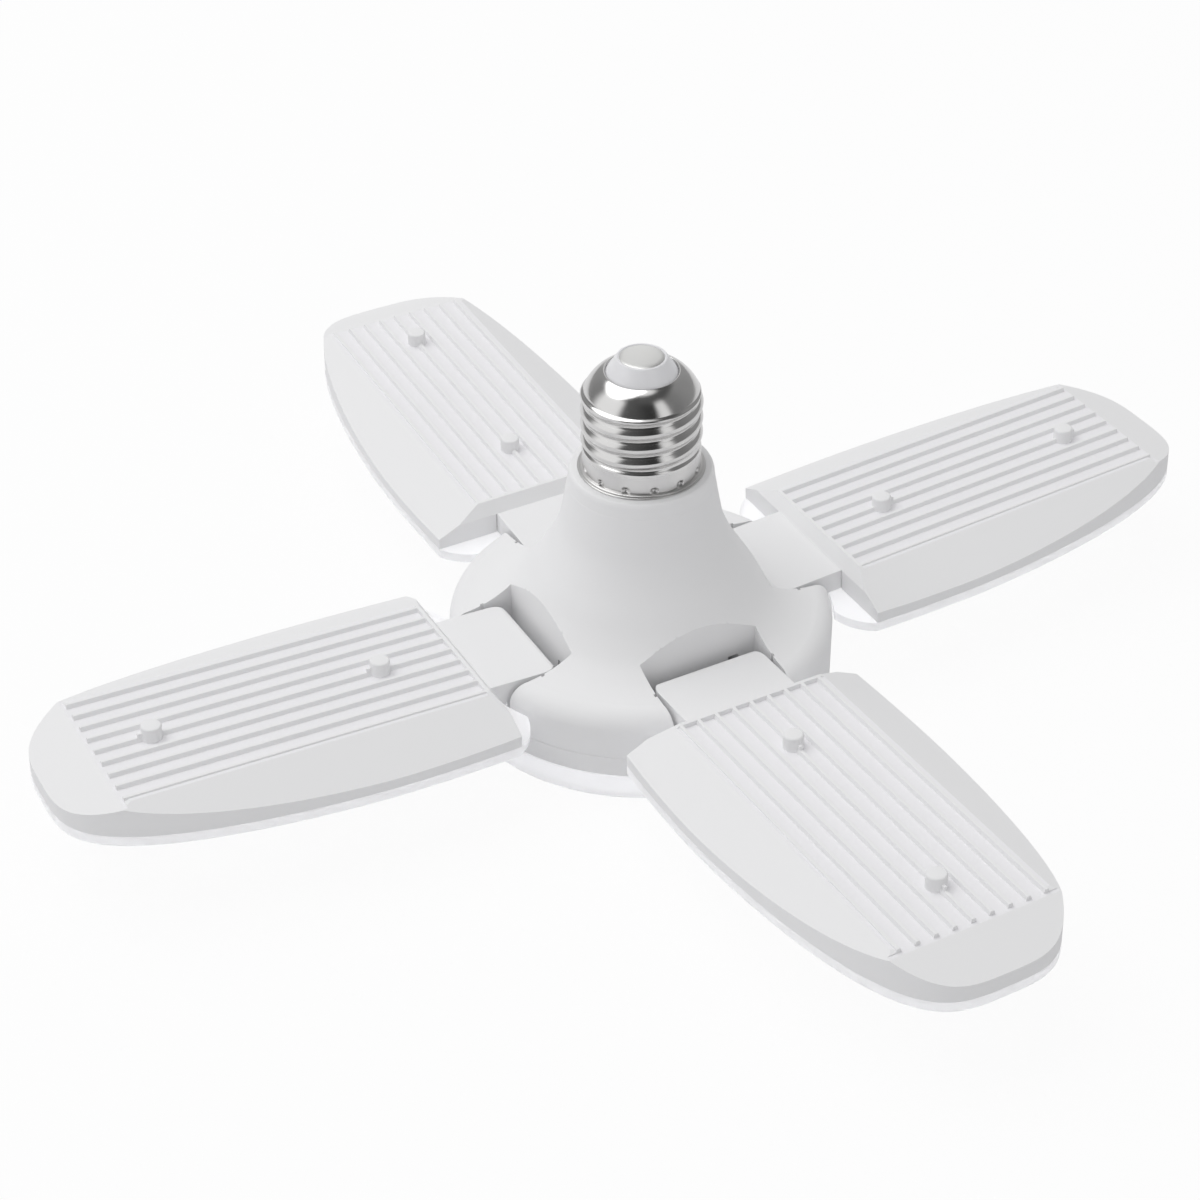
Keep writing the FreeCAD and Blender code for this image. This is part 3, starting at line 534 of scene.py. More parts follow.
def tidy(piece):
    """Merge what lies together, drop faces without area and close the holes that this leaves."""
    shape = bmesh.new()
    shape.from_mesh(piece.data)
    bmesh.ops.remove_doubles(shape, verts=shape.verts, dist=touching)
    bmesh.ops.dissolve_degenerate(shape, edges=shape.edges, dist=touching)
    loose = [e for e in shape.edges if not e.link_faces]
    bmesh.ops.delete(shape, geom=loose, context="EDGES")
    bmesh.ops.holes_fill(shape, edges=[e for e in shape.edges if e.is_boundary], sides=0)
    bmesh.ops.recalc_face_normals(shape, faces=shape.faces)
    shape.to_mesh(piece.data)
    shape.free()


def to_metres(piece):
    """Bring a mesh that was drawn in millimetres to metres."""
    piece.data.transform(Matrix.Scale(metres, 4))
    piece.data.update()


def settle(piece, body, slot, *nodes):
    """Bring a finished piece to metres, tie it to its body and hide its packed nodes; the slot is not
    used.
    """
    to_metres(piece)
    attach(piece, body)
    if nodes:
        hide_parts(*nodes)


def blade_place(index):
    """From a level blade at the origin to blade number index, in millimetres."""
    lift = Matrix.Rotation(-math.radians(rest_angle), 4, "Y")
    spin = Matrix.Rotation(turns[index], 4, "Z")
    return spin @ Matrix.Translation((hinge_reach, 0.0, hinge_z)) @ lift


def share_out(pattern, ending, slot, node_endings):
    """One copy of a level blade piece on each blade; the pattern itself is dropped."""
    for index, side in enumerate(sides):
        copy = add_object(f"{side}_{ending}", pattern.data.copy())
        copy.data.transform(blade_place(index))
        settle(copy, f"{side}_blade", slot, *[f"{side}_{end}" for end in node_endings])
    drop(pattern)


# ---- shader helpers ------------------------------------------------------------------------------

def add_group(name, inputs, outputs):
    """A shader node group with named sockets: (socket type, name, default)."""
    tree = bpy.data.node_groups.new(name, "ShaderNodeTree")
    for kind, label, default in inputs:
        socket = tree.interface.new_socket(name=label, in_out="INPUT", socket_type=kind)
        socket.default_value = default
    for kind, label in outputs:
        tree.interface.new_socket(name=label, in_out="OUTPUT", socket_type=kind)
    return tree, tree.nodes.new("NodeGroupInput"), tree.nodes.new("NodeGroupOutput")


def maths(tree, operation, *values):
    """What a Math node makes of the values, each a number or a socket."""
    node = tree.nodes.new("ShaderNodeMath")
    node.operation = operation
    for socket, value in zip(node.inputs, values):
        if isinstance(value, (int, float)):
            socket.default_value = value
        else:
            tree.links.new(value, socket)
    return node.outputs[0]


def noise(tree, vector, scale, detail):
    """A noise pattern; its scale is a number or a socket."""
    node = tree.nodes.new("ShaderNodeTexNoise")
    node.inputs["Detail"].default_value = detail
    tree.links.new(vector, node.inputs["Vector"])
    if isinstance(scale, (int, float)):
        node.inputs["Scale"].default_value = scale
    else:
        tree.links.new(scale, node.inputs["Scale"])
    return node.outputs["Fac"]


def moulded_group():
    """Moulded surface: slow drift of tone, fine grain, and a thin veil of handling marks."""
    tree, given, out = add_group(
        "moulded_surface",
        [("NodeSocketColor", "Colour", (0.8, 0.8, 0.8, 1.0)),
         ("NodeSocketFloat", "Tone Drift", 0.03),
         ("NodeSocketFloat", "Grain Scale", 2500.0),
         ("NodeSocketFloat", "Roughness", 0.4),
         ("NodeSocketFloat", "Roughness Drift", 0.08)],
        [("NodeSocketColor", "Colour"), ("NodeSocketFloat", "Roughness"),
         ("NodeSocketFloat", "Height")])
    place = tree.nodes.new("ShaderNodeTexCoord").outputs["Object"]
    slow = noise(tree, place, 18.0, 3.0)
    marks = noise(tree, place, 160.0, 4.0)
    grain = noise(tree, place, given.outputs["Grain Scale"], 1.0)
    drift = maths(tree, "MULTIPLY", maths(tree, "SUBTRACT", slow, 0.5), given.outputs["Tone Drift"])
    speck = maths(tree, "MULTIPLY", maths(tree, "SUBTRACT", grain, 0.5),
                  maths(tree, "MULTIPLY", given.outputs["Tone Drift"], 0.5))
    level = maths(tree, "ADD", maths(tree, "ADD", drift, speck), 1.0)
    tone = tree.nodes.new("ShaderNodeVectorMath")
    tone.operation = "SCALE"
    tree.links.new(given.outputs["Colour"], tone.inputs[0])
    tree.links.new(level, tone.inputs["Scale"])
    rough = maths(tree, "MULTIPLY_ADD", maths(tree, "SUBTRACT", marks, 0.5),
                  given.outputs["Roughness Drift"], given.outputs["Roughness"])
    tree.links.new(tone.outputs[0], out.inputs["Colour"])
    tree.links.new(rough, out.inputs["Roughness"])
    tree.links.new(grain, out.inputs["Height"])
    return tree


def turned_group():
    """Rolled or turned metal: fine rings round Z, dull patches and a little stain."""
    tree, given, out = add_group(
        "turned_metal",
        [("NodeSocketColor", "Colour", (0.7, 0.7, 0.7, 1.0)),
         ("NodeSocketFloat", "Ring Scale", 3000.0),
         ("NodeSocketFloat", "Roughness", 0.2),
         ("NodeSocketFloat", "Roughness Drift", 0.15),
         ("NodeSocketFloat", "Satin From", -0.0222),
         ("NodeSocketFloat", "Satin Added", 0.16)],
        [("NodeSocketColor", "Colour"), ("NodeSocketFloat", "Roughness"),
         ("NodeSocketFloat", "Height")])
    place = tree.nodes.new("ShaderNodeTexCoord").outputs["Object"]
    flat = tree.nodes.new("ShaderNodeMapping")
    flat.inputs["Scale"].default_value = (0.06, 0.06, 1.0)
    tree.links.new(place, flat.inputs["Vector"])
    rings = noise(tree, flat.outputs["Vector"], given.outputs["Ring Scale"], 2.0)
    patches = noise(tree, place, 220.0, 3.0)
    apart = tree.nodes.new("ShaderNodeSeparateXYZ")
    tree.links.new(place, apart.inputs["Vector"])
    satin = tree.nodes.new("ShaderNodeMapRange")
    tree.links.new(apart.outputs["Z"], satin.inputs["Value"])
    tree.links.new(given.outputs["Satin From"], satin.inputs["From Min"])
    tree.links.new(maths(tree, "SUBTRACT", given.outputs["Satin From"], 0.0006),
                   satin.inputs["From Max"])
    added = maths(tree, "MULTIPLY", satin.outputs["Result"], given.outputs["Satin Added"])
    rough = maths(tree, "MULTIPLY_ADD", maths(tree, "SUBTRACT", patches, 0.5),
                  given.outputs["Roughness Drift"], given.outputs["Roughness"])
    rough = maths(tree, "ADD", rough, added)
    level = maths(tree, "MULTIPLY_ADD", maths(tree, "SUBTRACT", patches, 0.5), 0.12, 1.0)
    tone = tree.nodes.new("ShaderNodeVectorMath")
    tone.operation = "SCALE"
    tree.links.new(given.outputs["Colour"], tone.inputs[0])
    tree.links.new(level, tone.inputs["Scale"])
    tree.links.new(tone.outputs[0], out.inputs["Colour"])
    tree.links.new(rough, out.inputs["Roughness"])
    tree.links.new(rings, out.inputs["Height"])
    return tree


def finish(name, group, values, bump, metallic=0.0, **plain):
    """A material: one surface group with its own values, a bump, and plain shader values."""
    material = bpy.data.materials.new(name)
    material.use_nodes = True
    tree = material.node_tree
    shader = tree.nodes["Principled BSDF"]
    surface = tree.nodes.new("ShaderNodeGroup")
    surface.node_tree = group
    for label, value in values.items():
        surface.inputs[label].default_value = value
    raised = tree.nodes.new("ShaderNodeBump")
    raised.inputs["Distance"].default_value = bump
    tree.links.new(surface.outputs["Colour"], shader.inputs["Base Color"])
    tree.links.new(surface.outputs["Roughness"], shader.inputs["Roughness"])
    tree.links.new(surface.outputs["Height"], raised.inputs["Height"])
    tree.links.new(raised.outputs["Normal"], shader.inputs["Normal"])
    shader.inputs["Metallic"].default_value = metallic
    for label, value in plain.items():
        shader.inputs[label.replace("_", " ")].default_value = value
    return material


def opaque(colour):
    """A colour setting with its alpha."""
    return (colour[0], colour[1], colour[2], 1.0)


def make_finishes(context):
    """All materials, by name."""
    chosen = context.scene.light_finish
    moulded = moulded_group()
    turned = turned_group()

    def plastic(name, colour, roughness, grain=2600.0, drift=0.03, bump=0.000015, **plain):
        values = {"Colour": opaque(colour), "Roughness": roughness, "Grain Scale": grain,
                  "Tone Drift": drift}
        return finish(name, moulded, values, bump, **plain)

    def metal(name, colour, roughness, bump=0.000006, **values):
        given = {"Colour": opaque(colour), "Roughness": roughness}
        given.update({label.replace("_", " "): value for label, value in values.items()})
        return finish(name, turned, given, bump, metallic=1.0)

    # the covers' weak white emission is painted glow that brightens them as if lit through, though they
    # are no lamp; the transmission is their real milkiness
    milky_with_painted_glow = {"Transmission_Weight": 0.6, "IOR": 1.3, "Emission_Strength": 0.12,
             "Emission_Color": (1.0, 1.0, 1.0, 1.0)}
    plastic("housing_white", chosen.housing, 0.36)
    # the textured field's brighter colour is painted light against the shade between the ribs
    plastic("housing_textured", chosen.textured, 0.6, 1900.0, 0.05, 0.00002)
    plastic("milky_cover", chosen.cover, 0.4, 900.0, 0.015, 0.000006, **milky_with_painted_glow)
    metal("plated_nickel", chosen.nickel, 0.16)
    metal("solder", (0.86, 0.86, 0.87), 0.2, 0.00008, Ring_Scale=700.0, Satin_Added=0.0)
    plastic("insulator_white", chosen.insulator, 0.32, 1500.0)
    metal("pin_steel", (0.56, 0.56, 0.57), 0.3, Satin_Added=0.0)
    metal("screw_steel", (0.62, 0.62, 0.63), 0.28, Satin_Added=0.0)
    plastic("board_white", (0.85, 0.85, 0.83), 0.45, 1200.0, 0.05)
    plastic("board_green", (0.06, 0.22, 0.10), 0.4, 1400.0, 0.3, 0.00003)
    plastic("led_phosphor", (0.90, 0.80, 0.34), 0.35, 4000.0, 0.12, 0.00004)
    plastic("winding_tape", (0.83, 0.66, 0.12), 0.42, 500.0, 0.1, 0.00004)
    plastic("can_sleeve", (0.05, 0.06, 0.16), 0.3, 600.0, 0.2)
    plastic("chip_black", (0.03, 0.03, 0.032), 0.55, 3200.0, 0.3, 0.00003)
    plastic("resistor_body", (0.25, 0.42, 0.48), 0.4, 1800.0, 0.15)
    plastic("wire_white", (0.82, 0.82, 0.80), 0.4, 1500.0, 0.05)


# ---- geometry nodes ------------------------------------------------------------------------------

def geometry_tree(name, inputs):
    """A geometry node tree with named inputs: (socket type, name, default)."""
    tree = bpy.data.node_groups.new(name, "GeometryNodeTree")
    for kind, label, default in inputs:
        socket = tree.interface.new_socket(name=label, in_out="INPUT", socket_type=kind)
        if default is not None:
            socket.default_value = default
    tree.interface.new_socket(name="Geometry", in_out="OUTPUT", socket_type="NodeSocketGeometry")
    return tree, tree.nodes.new("NodeGroupInput"), tree.nodes.new("NodeGroupOutput")


def grow(name, tree, values):
    """Run a tree on an empty object and keep what it makes as a plain mesh."""
    piece = add_object(name, bpy.data.meshes.new(name))
    modifier = piece.modifiers.new("grow", "NODES")
    modifier.node_group = tree
    for item in tree.interface.items_tree:
        if item.in_out == "INPUT" and item.name in values:
            modifier[item.identifier] = values[item.name]
    apply_modifiers(piece)
    return piece


def finish_tree(tree, geometry, given, out):
    """Smooth, realize and paint what a tree has made."""
    rounded = tree.nodes.new("GeometryNodeSetShadeSmooth")
    real = tree.nodes.new("GeometryNodeRealizeInstances")
    painted = tree.nodes.new("GeometryNodeSetMaterial")
    tree.links.new(geometry, rounded.inputs["Geometry"])
    tree.links.new(rounded.outputs[0], real.inputs["Geometry"])
    tree.links.new(real.outputs[0], painted.inputs["Geometry"])
    tree.links.new(given.outputs["Material"], painted.inputs["Material"])
    tree.links.new(painted.outputs[0], out.inputs["Geometry"])


def rolled_band_tree():
    """A round band of the shell with a rolled right-hand thread or a row of punched dimples."""
    tree, given, out = geometry_tree("rolled_band", [
        ("NodeSocketFloat", "Radius", 12.2), ("NodeSocketFloat", "Top", -7.0),
        ("NodeSocketFloat", "Foot", -22.0), ("NodeSocketInt", "Steps Around", 216),
        ("NodeSocketInt", "Steps Along", 190), ("NodeSocketFloat", "Top Flare", 0.0),
        ("NodeSocketFloat", "Foot Flare", 0.58), ("NodeSocketFloat", "Thread Depth", 0.9),
        ("NodeSocketFloat", "Thread Pitch", 3.629), ("NodeSocketFloat", "Line Depth", 0.05),
        ("NodeSocketInt", "Dimple Count", 13), ("NodeSocketFloat", "Dimple Radius", 0.8),
        ("NodeSocketFloat", "Dimple Depth", 0.0), ("NodeSocketFloat", "Dimple Height", -25.9),
        ("NodeSocketFloat", "Dimple Turn", 0.0), ("NodeSocketMaterial", "Material", None)])
    wanted = given.outputs
    full_turn = 2 * math.pi
    plus, minus, times, over = [partial(maths, tree, way)
                                for way in ("ADD", "SUBTRACT", "MULTIPLY", "DIVIDE")]
    band = tree.nodes.new("GeometryNodeMeshCylinder")
    band.fill_type = "NONE"
    tree.links.new(wanted["Steps Around"], band.inputs["Vertices"])
    tree.links.new(wanted["Steps Along"], band.inputs["Side Segments"])
    tree.links.new(wanted["Radius"], band.inputs["Radius"])
    tree.links.new(minus(wanted["Top"], wanted["Foot"]), band.inputs["Depth"])
    spot = tree.nodes.new("ShaderNodeSeparateXYZ")
    tree.links.new(tree.nodes.new("GeometryNodeInputPosition").outputs[0], spot.inputs[0])
    x, y, level = spot.outputs
    angle = maths(tree, "ARCTAN2", y, x)
    # the cylinder is made round its own middle
    height = plus(level, times(plus(wanted["Top"], wanted["Foot"]), 0.5))
    from_top = minus(wanted["Top"], height)
    from_foot = minus(height, wanted["Foot"])

    def rise(distance, reach):
        node = tree.nodes.new("ShaderNodeMapRange")
        node.interpolation_type = "SMOOTHSTEP"
        node.inputs["From Max"].default_value = reach
        tree.links.new(distance, node.inputs["Value"])
        return node.outputs["Result"]

    # the thread is one wave to a pitch, shifted by the angle, and it fades out at both ends
    phase = minus(over(height, wanted["Thread Pitch"]), over(angle, full_turn))
    wave = maths(tree, "MULTIPLY_ADD", maths(tree, "COSINE", times(phase, full_turn)), 0.5, 0.5)
    crest = maths(tree, "POWER", wave, crest_power)
    # the two fine rolling lines lie low on the flanks, on both sides of the root
    off_line = maths(tree, "ABSOLUTE", minus(wave, line_level))
    line = maths(tree, "MAXIMUM", minus(1.0, over(off_line, line_spread)), 0.0)
    line = times(line, wanted["Line Depth"])
    fade = times(rise(from_top, thread_top_fade), rise(from_foot, thread_foot_fade))
    thread = times(minus(times(crest, wanted["Thread Depth"]), line), fade)
    top_flare = times(minus(1.0, rise(from_top, top_flare_reach)), wanted["Top Flare"])
    foot_flare = times(minus(1.0, rise(from_foot, foot_flare_reach)), wanted["Foot Flare"])

    # a dimple is pressed in by how near its middle a point lies, aside and above
    counted = times(minus(angle, wanted["Dimple Turn"]), over(wanted["Dimple Count"], full_turn))
    aside = minus(counted, maths(tree, "ROUND", counted))
    aside = times(times(aside, over(full_turn, wanted["Dimple Count"])), wanted["Radius"])
    above = minus(height, wanted["Dimple Height"])
    away = maths(tree, "SQRT", plus(times(aside, aside), times(above, above)))
    near = maths(tree, "MAXIMUM", minus(1.0, over(away, wanted["Dimple Radius"])), 0.0)
    dent = times(rise(near, dimple_floor), wanted["Dimple Depth"])

    out_by = minus(plus(plus(thread, top_flare), foot_flare), dent)
    share = plus(over(out_by, wanted["Radius"]), 1.0)
    place = tree.nodes.new("ShaderNodeCombineXYZ")
    tree.links.new(times(x, share), place.inputs["X"])
    tree.links.new(times(y, share), place.inputs["Y"])
    tree.links.new(height, place.inputs["Z"])
    shaped = tree.nodes.new("GeometryNodeSetPosition")
    tree.links.new(band.outputs["Mesh"], shaped.inputs["Geometry"])
    tree.links.new(place.outputs[0], shaped.inputs["Position"])
    finish_tree(tree, shaped.outputs[0], given, out)
    return tree


def rib_field_tree():
    """Straight parallel ribs with rounded edges, side by side along Y."""
    tree, given, out = geometry_tree("rib_field", [
        ("NodeSocketInt", "Count", 9), ("NodeSocketFloat", "Pitch", 4.222),
        ("NodeSocketFloat", "Top Width", 0.8), ("NodeSocketFloat", "Foot Width", 1.6),
        ("NodeSocketFloat", "Height", 1.5), ("NodeSocketFloat", "Edge", 0.22),
        ("NodeSocketFloat", "Start", 15.2), ("NodeSocketFloat", "End", 95.7),
        ("NodeSocketFloat", "Top", 7.58), ("NodeSocketMaterial", "Material", None)])
    wanted = given.outputs
    section = tree.nodes.new("GeometryNodeCurvePrimitiveQuadrilateral")
    section.mode = "TRAPEZOID"
    section.inputs["Offset"].default_value = 0.0
    # carried along X, the section stands on its head
    tree.links.new(wanted["Foot Width"], section.inputs["Top Width"])
    tree.links.new(wanted["Top Width"], section.inputs["Bottom Width"])
    tree.links.new(wanted["Height"], section.inputs["Height"])
    rounded = tree.nodes.new("GeometryNodeFilletCurve")
    rounded.mode = "POLY"
    rounded.inputs["Count"].default_value = 2
    tree.links.new(section.outputs[0], rounded.inputs["Curve"])
    tree.links.new(wanted["Edge"], rounded.inputs["Radius"])
    run = tree.nodes.new("GeometryNodeCurvePrimitiveLine")
    for end, label in (("Start", "Start"), ("End", "End")):
        spot = tree.nodes.new("ShaderNodeCombineXYZ")
        tree.links.new(wanted[label], spot.inputs["X"])
        tree.links.new(spot.outputs[0], run.inputs[end])
    rib = tree.nodes.new("GeometryNodeCurveToMesh")
    rib.inputs["Fill Caps"].default_value = True
    tree.links.new(run.outputs[0], rib.inputs["Curve"])
    tree.links.new(rounded.outputs[0], rib.inputs["Profile Curve"])
    half = maths(tree, "MULTIPLY", maths(tree, "SUBTRACT", wanted["Count"], 1.0), 0.5)
    first = tree.nodes.new("ShaderNodeCombineXYZ")
    tree.links.new(maths(tree, "MULTIPLY", maths(tree, "MULTIPLY", half, wanted["Pitch"]), -1.0),
                   first.inputs["Y"])
    tree.links.new(maths(tree, "SUBTRACT", wanted["Top"],
                         maths(tree, "MULTIPLY", wanted["Height"], 0.5)), first.inputs["Z"])
    step = tree.nodes.new("ShaderNodeCombineXYZ")
    tree.links.new(wanted["Pitch"], step.inputs["Y"])
    row = tree.nodes.new("GeometryNodeMeshLine")
    row.mode = "OFFSET"
    tree.links.new(wanted["Count"], row.inputs["Count"])
    tree.links.new(first.outputs[0], row.inputs["Start Location"])
    tree.links.new(step.outputs[0], row.inputs["Offset"])
    placed = tree.nodes.new("GeometryNodeInstanceOnPoints")
    tree.links.new(row.outputs[0], placed.inputs["Points"])
    tree.links.new(rib.outputs[0], placed.inputs["Instance"])
    finish_tree(tree, placed.outputs[0], given, out)
    return tree


# ---- pieces --------------------------------------------------------------------------------------

def joined(name, pieces, merge):
    """All the pieces' faces in one new piece, points nearer than the merge distance made one."""
    shape = bmesh.new()
    for piece in pieces:
        shape.from_mesh(piece.data)
    bmesh.ops.remove_doubles(shape, verts=shape.verts, dist=merge)
    result = from_bmesh(name, shape)
    for piece in pieces:
        drop(piece)
    return result


def screw_shell(chosen):
    """Plated shell: rolled mouth and dome, threaded band, dimpled skirt and flared lip."""
    around = 360
    tree = rolled_band_tree()
    nickel = bpy.data.materials["plated_nickel"]
    dome_reach, dome_foot = shell_dome[-1]
    shared = {"Material": nickel, "Thread Pitch": in_mm(chosen.thread_pitch),
              "Dimple Count": chosen.dimple_count, "Dimple Turn": chosen.dimple_turn,
              "Dimple Radius": in_mm(chosen.dimple_radius), "Steps Around": around}
    threaded = grow("thread", tree, dict(shared, **{
        "Radius": shell_root, "Top": dome_foot, "Foot": thread_foot, "Steps Along": 150,
        "Top Flare": dome_reach - shell_root, "Foot Flare": skirt_radius - shell_root,
        "Thread Depth": in_mm(chosen.thread_depth), "Line Depth": in_mm(chosen.line_depth),
        "Dimple Depth": 0.0}))
    skirt = grow("skirt", tree, dict(shared, **{
        "Radius": skirt_radius, "Top": thread_foot, "Foot": skirt_foot, "Steps Along": 40,
        "Top Flare": 0.0, "Foot Flare": 0.0, "Thread Depth": 0.0, "Line Depth": 0.0,
        "Dimple Depth": in_mm(chosen.dimple_depth)}))
    dome = lathe("dome", flowing(shell_dome, 3), around)
    lip = lathe("lip", [(skirt_radius, skirt_foot)] + flowing(shell_lip, 2), around)
    liner = lathe("liner", [shell_lip[-1], (shell_liner, shell_lip[-1][1]),
                            (shell_liner, dome_foot), shell_dome[0]], around)
    shell = joined("screw_shell_skin", [dome, threaded, skirt, lip, liner], 5e-3)
    tidy(shell)
    smooth(shell, 50.0)
    paint(shell, nickel)
    settle(shell, "hub", "nickel", "screw_shell")


def bell_line():
    """The outside of the bell from its collar to the seam."""
    collar = quarter((15.0, collar_z), (neck_line[0][0], collar_z - collar_rounding), 5)
    shoulder = (hub_radius - hub_rounding, neck_line[-1][1])
    edge = quarter(shoulder, (hub_radius, shoulder[1] - hub_rounding), 10)
    return collar, flowing(neck_line, 5)[1:], edge


def hub_bell(chosen):
    """Bell and neck with four arm pockets, their guide grooves and their lead slots."""
    collar, flare, edge = bell_line()
    chamfer = in_mm(chosen.seam_chamfer)
    outside = [(0.0, collar_z)] + collar + flare + edge[1:]
    outside += [(hub_radius, seam_z + chamfer), (hub_radius - chamfer, seam_z), (0.0, seam_z)]
    bell = lathe("hub_bell", outside)

    inner = [(0.0, collar_z - hub_wall)] + moved_in(collar[-1:] + flare, -hub_wall)[1:]
    inner += [(hub_radius - hub_wall, edge[-1][1]), (hub_radius - hub_wall, seam_z - margin),
              (0.0, seam_z - margin)]
    hollow = lathe("hollow", inner, 96)
    grown = pocket_half + hub_wall
    carve(hollow, [box(pocket_wall_reach - hub_wall, pocket_cut_reach, -grown, grown,
                       seam_z - 2 * margin, 0.0, turn) for turn in turns])
    carve(bell, [hollow])
    carve(bell, [box(pocket_wall_reach, pocket_cut_reach, -pocket_half, pocket_half,
                     seam_z - margin, 0.0, turn) for turn in turns])
    tidy(bell)
    soften(bell, in_mm(chosen.pocket_edge), 2, 38.0)
    tidy(bell)

    half = 0.5 * groove_width
    deep = pocket_half + groove_depth
    near, far, below, above = lead_slot
    slot_start = pocket_wall_reach - 2 * hub_wall
    for turn in turns:
        carve(bell, [box(hinge_reach - half, hinge_reach + half, -deep, deep, hinge_z, 0.0, turn),
                     box(slot_start, pocket_wall_reach + margin, near, far,
                         hinge_z + below, hinge_z + above, turn)])
    tidy(bell)
    smooth(bell)
    paint(bell, bpy.data.materials["housing_white"])
    settle(bell, "hub", "housing_white", "hub_housing")


def hub_plate(chosen):
    """Lower plate with its deep rim, broken edges on both sides."""
    chamfer = in_mm(chosen.seam_chamfer)
    rim = hub_radius
    plate = lathe("hub_band", [
        (0.0, seam_z), (rim - chamfer, seam_z), (rim, seam_z - chamfer), (rim, band_z + chamfer),
        (rim - chamfer, band_z), (rim - hub_wall, band_z), (rim - hub_wall, seam_z - hub_wall),
        (0.0, seam_z - hub_wall)])
    smooth(plate, 28.0)
    paint(plate, bpy.data.materials["housing_white"])
    settle(plate, "hub", "housing_white", "hub_lower_plate")


def hub_cover(chosen):
    """Milky dish with a rounded lower edge."""
    chamfer = in_mm(chosen.seam_chamfer)
    inside = hub_radius - cover_wall
    line = [(inside, band_z), (hub_radius - chamfer, band_z), (hub_radius, band_z - chamfer)]
    line += reversed(quarter((hub_radius - cover_rounding, cover_z),
                             (hub_radius, cover_z + cover_rounding), 6))
    line += [(0.0, cover_z), (0.0, cover_z + cover_wall), (inside, cover_z + cover_wall)]
    cover = lathe("hub_cover", line, closed=True)
    smooth(cover, 40.0)
    # the cover material carries a weak painted glow
    paint(cover, bpy.data.materials["milky_cover"])
    settle(cover, "hub", "diffuser", "hub_diffuser")


def arm_pattern(chosen):
    """Hinge arm: rounded barrel end, flat top, tongue that runs into the blade."""
    turn = math.asin(arm_back / arm_barrel)
    under = [(-arm_barrel * math.sin(turn * i / 8), -arm_barrel * math.cos(turn * i / 8))
             for i in range(9)]
    back = quarter((arm_top_rounding - arm_back, arm_top), (-arm_back, arm_top - arm_top_rounding), 6)
    tongue_bottom = rim_bottom + arm_tongue_lift
    side = under + back[::-1] + [(arm_tongue_reach, arm_top), (arm_tongue_reach, tongue_bottom),
                                 (arm_foot_reach, tongue_bottom), (arm_foot_reach, -arm_barrel)]
    arm = prism("arm", side, -arm_half, arm_half)
    arm.data.transform(Matrix.Rotation(0.5 * math.pi, 4, "X"))
    plan = []
    off_corner = arm_corner * (1 - math.sqrt(0.5))
    for sign in (-1, 1):
        corner = arc_points((-arm_back + arm_corner, sign * arm_half),
                            (-arm_back + off_corner, sign * (arm_half - off_corner)),
                            (-arm_back, sign * (arm_half - arm_corner)), 8)
        plan += corner if sign < 0 else corner[::-1]
    plan += [(arm_plan_reach, arm_half), (arm_plan_reach, -arm_half)]
    carve(arm, [prism("plan", plan, -arm_plan_height, arm_plan_height)], "INTERSECT")
    near, far, slot_top, _ = lead_slot
    carve(arm, [box(-arm_back - margin, arm_foot_reach + margin, near, far,
                    -arm_barrel - margin, slot_top)])
    soften(arm, in_mm(chosen.arm_edge), 3, 40.0)
    smooth(arm, 40.0)
    paint(arm, bpy.data.materials["housing_white"])
    return arm


def blade_side(inset=0.0):
    """The blade's plan line from the tip's middle along +Y to the root corner."""
    side = []
    steps = 44
    for step in range(steps + 1):
        angle = 0.5 * math.pi * (step / steps) ** 2
        side.append((belly_reach + (blade_length - belly_reach) * math.cos(angle) ** (2 / length_power),
                     belly_half * math.sin(angle) ** (2 / width_power)))
    for step in range(1, 9):
        back = step / 8
        side.append((belly_reach - back * (belly_reach - root_reach),
                     belly_half - back * back * (belly_half - root_half)))
    if inset:
        side = moved_in(side, -inset)
        side[0] = (side[0][0], 0.0)
        side = [p for p in side if p[0] > root_reach + inset]
        side.append((root_reach + inset, side[-1][1]))
    return side


def blade_outline(inset=0.0):
    """The whole plan line, both sides."""
    side = blade_side(inset)
    return side + [(x, -y) for x, y in reversed(side[1:])]


def roof_form(name, inset=0.0):
    """The housing's outer form, or its hollow: outline, side, tip and root slopes."""
    top = ridge_top if not inset else floor_top - inset
    form = prism(name, blade_outline(inset), rim_bottom - (margin if inset else 0.0), top)

    def take_off(first, second, across):
        run = second[0] - first[0]
        fall = (second[1] - first[1]) / run
        drop_by = inset * math.hypot(1.0, fall)
        if across:
            shave(form, (0.0, first[0], first[1] - drop_by), (0.0, -fall, 1.0))
        else:
            shave(form, (first[0], 0.0, first[1] - drop_by), (-fall, 0.0, 1.0))

    take_off((root_reach, root_face_top), (lip_reach, ridge_top), False)
    take_off((tip_slope_start, floor_top), (blade_length, tip_rim_top), False)
    take_off((plateau_half, strip_top), (root_half, root_rim_top), True)
    take_off((-plateau_half, strip_top), (-root_half, root_rim_top), True)
    return form


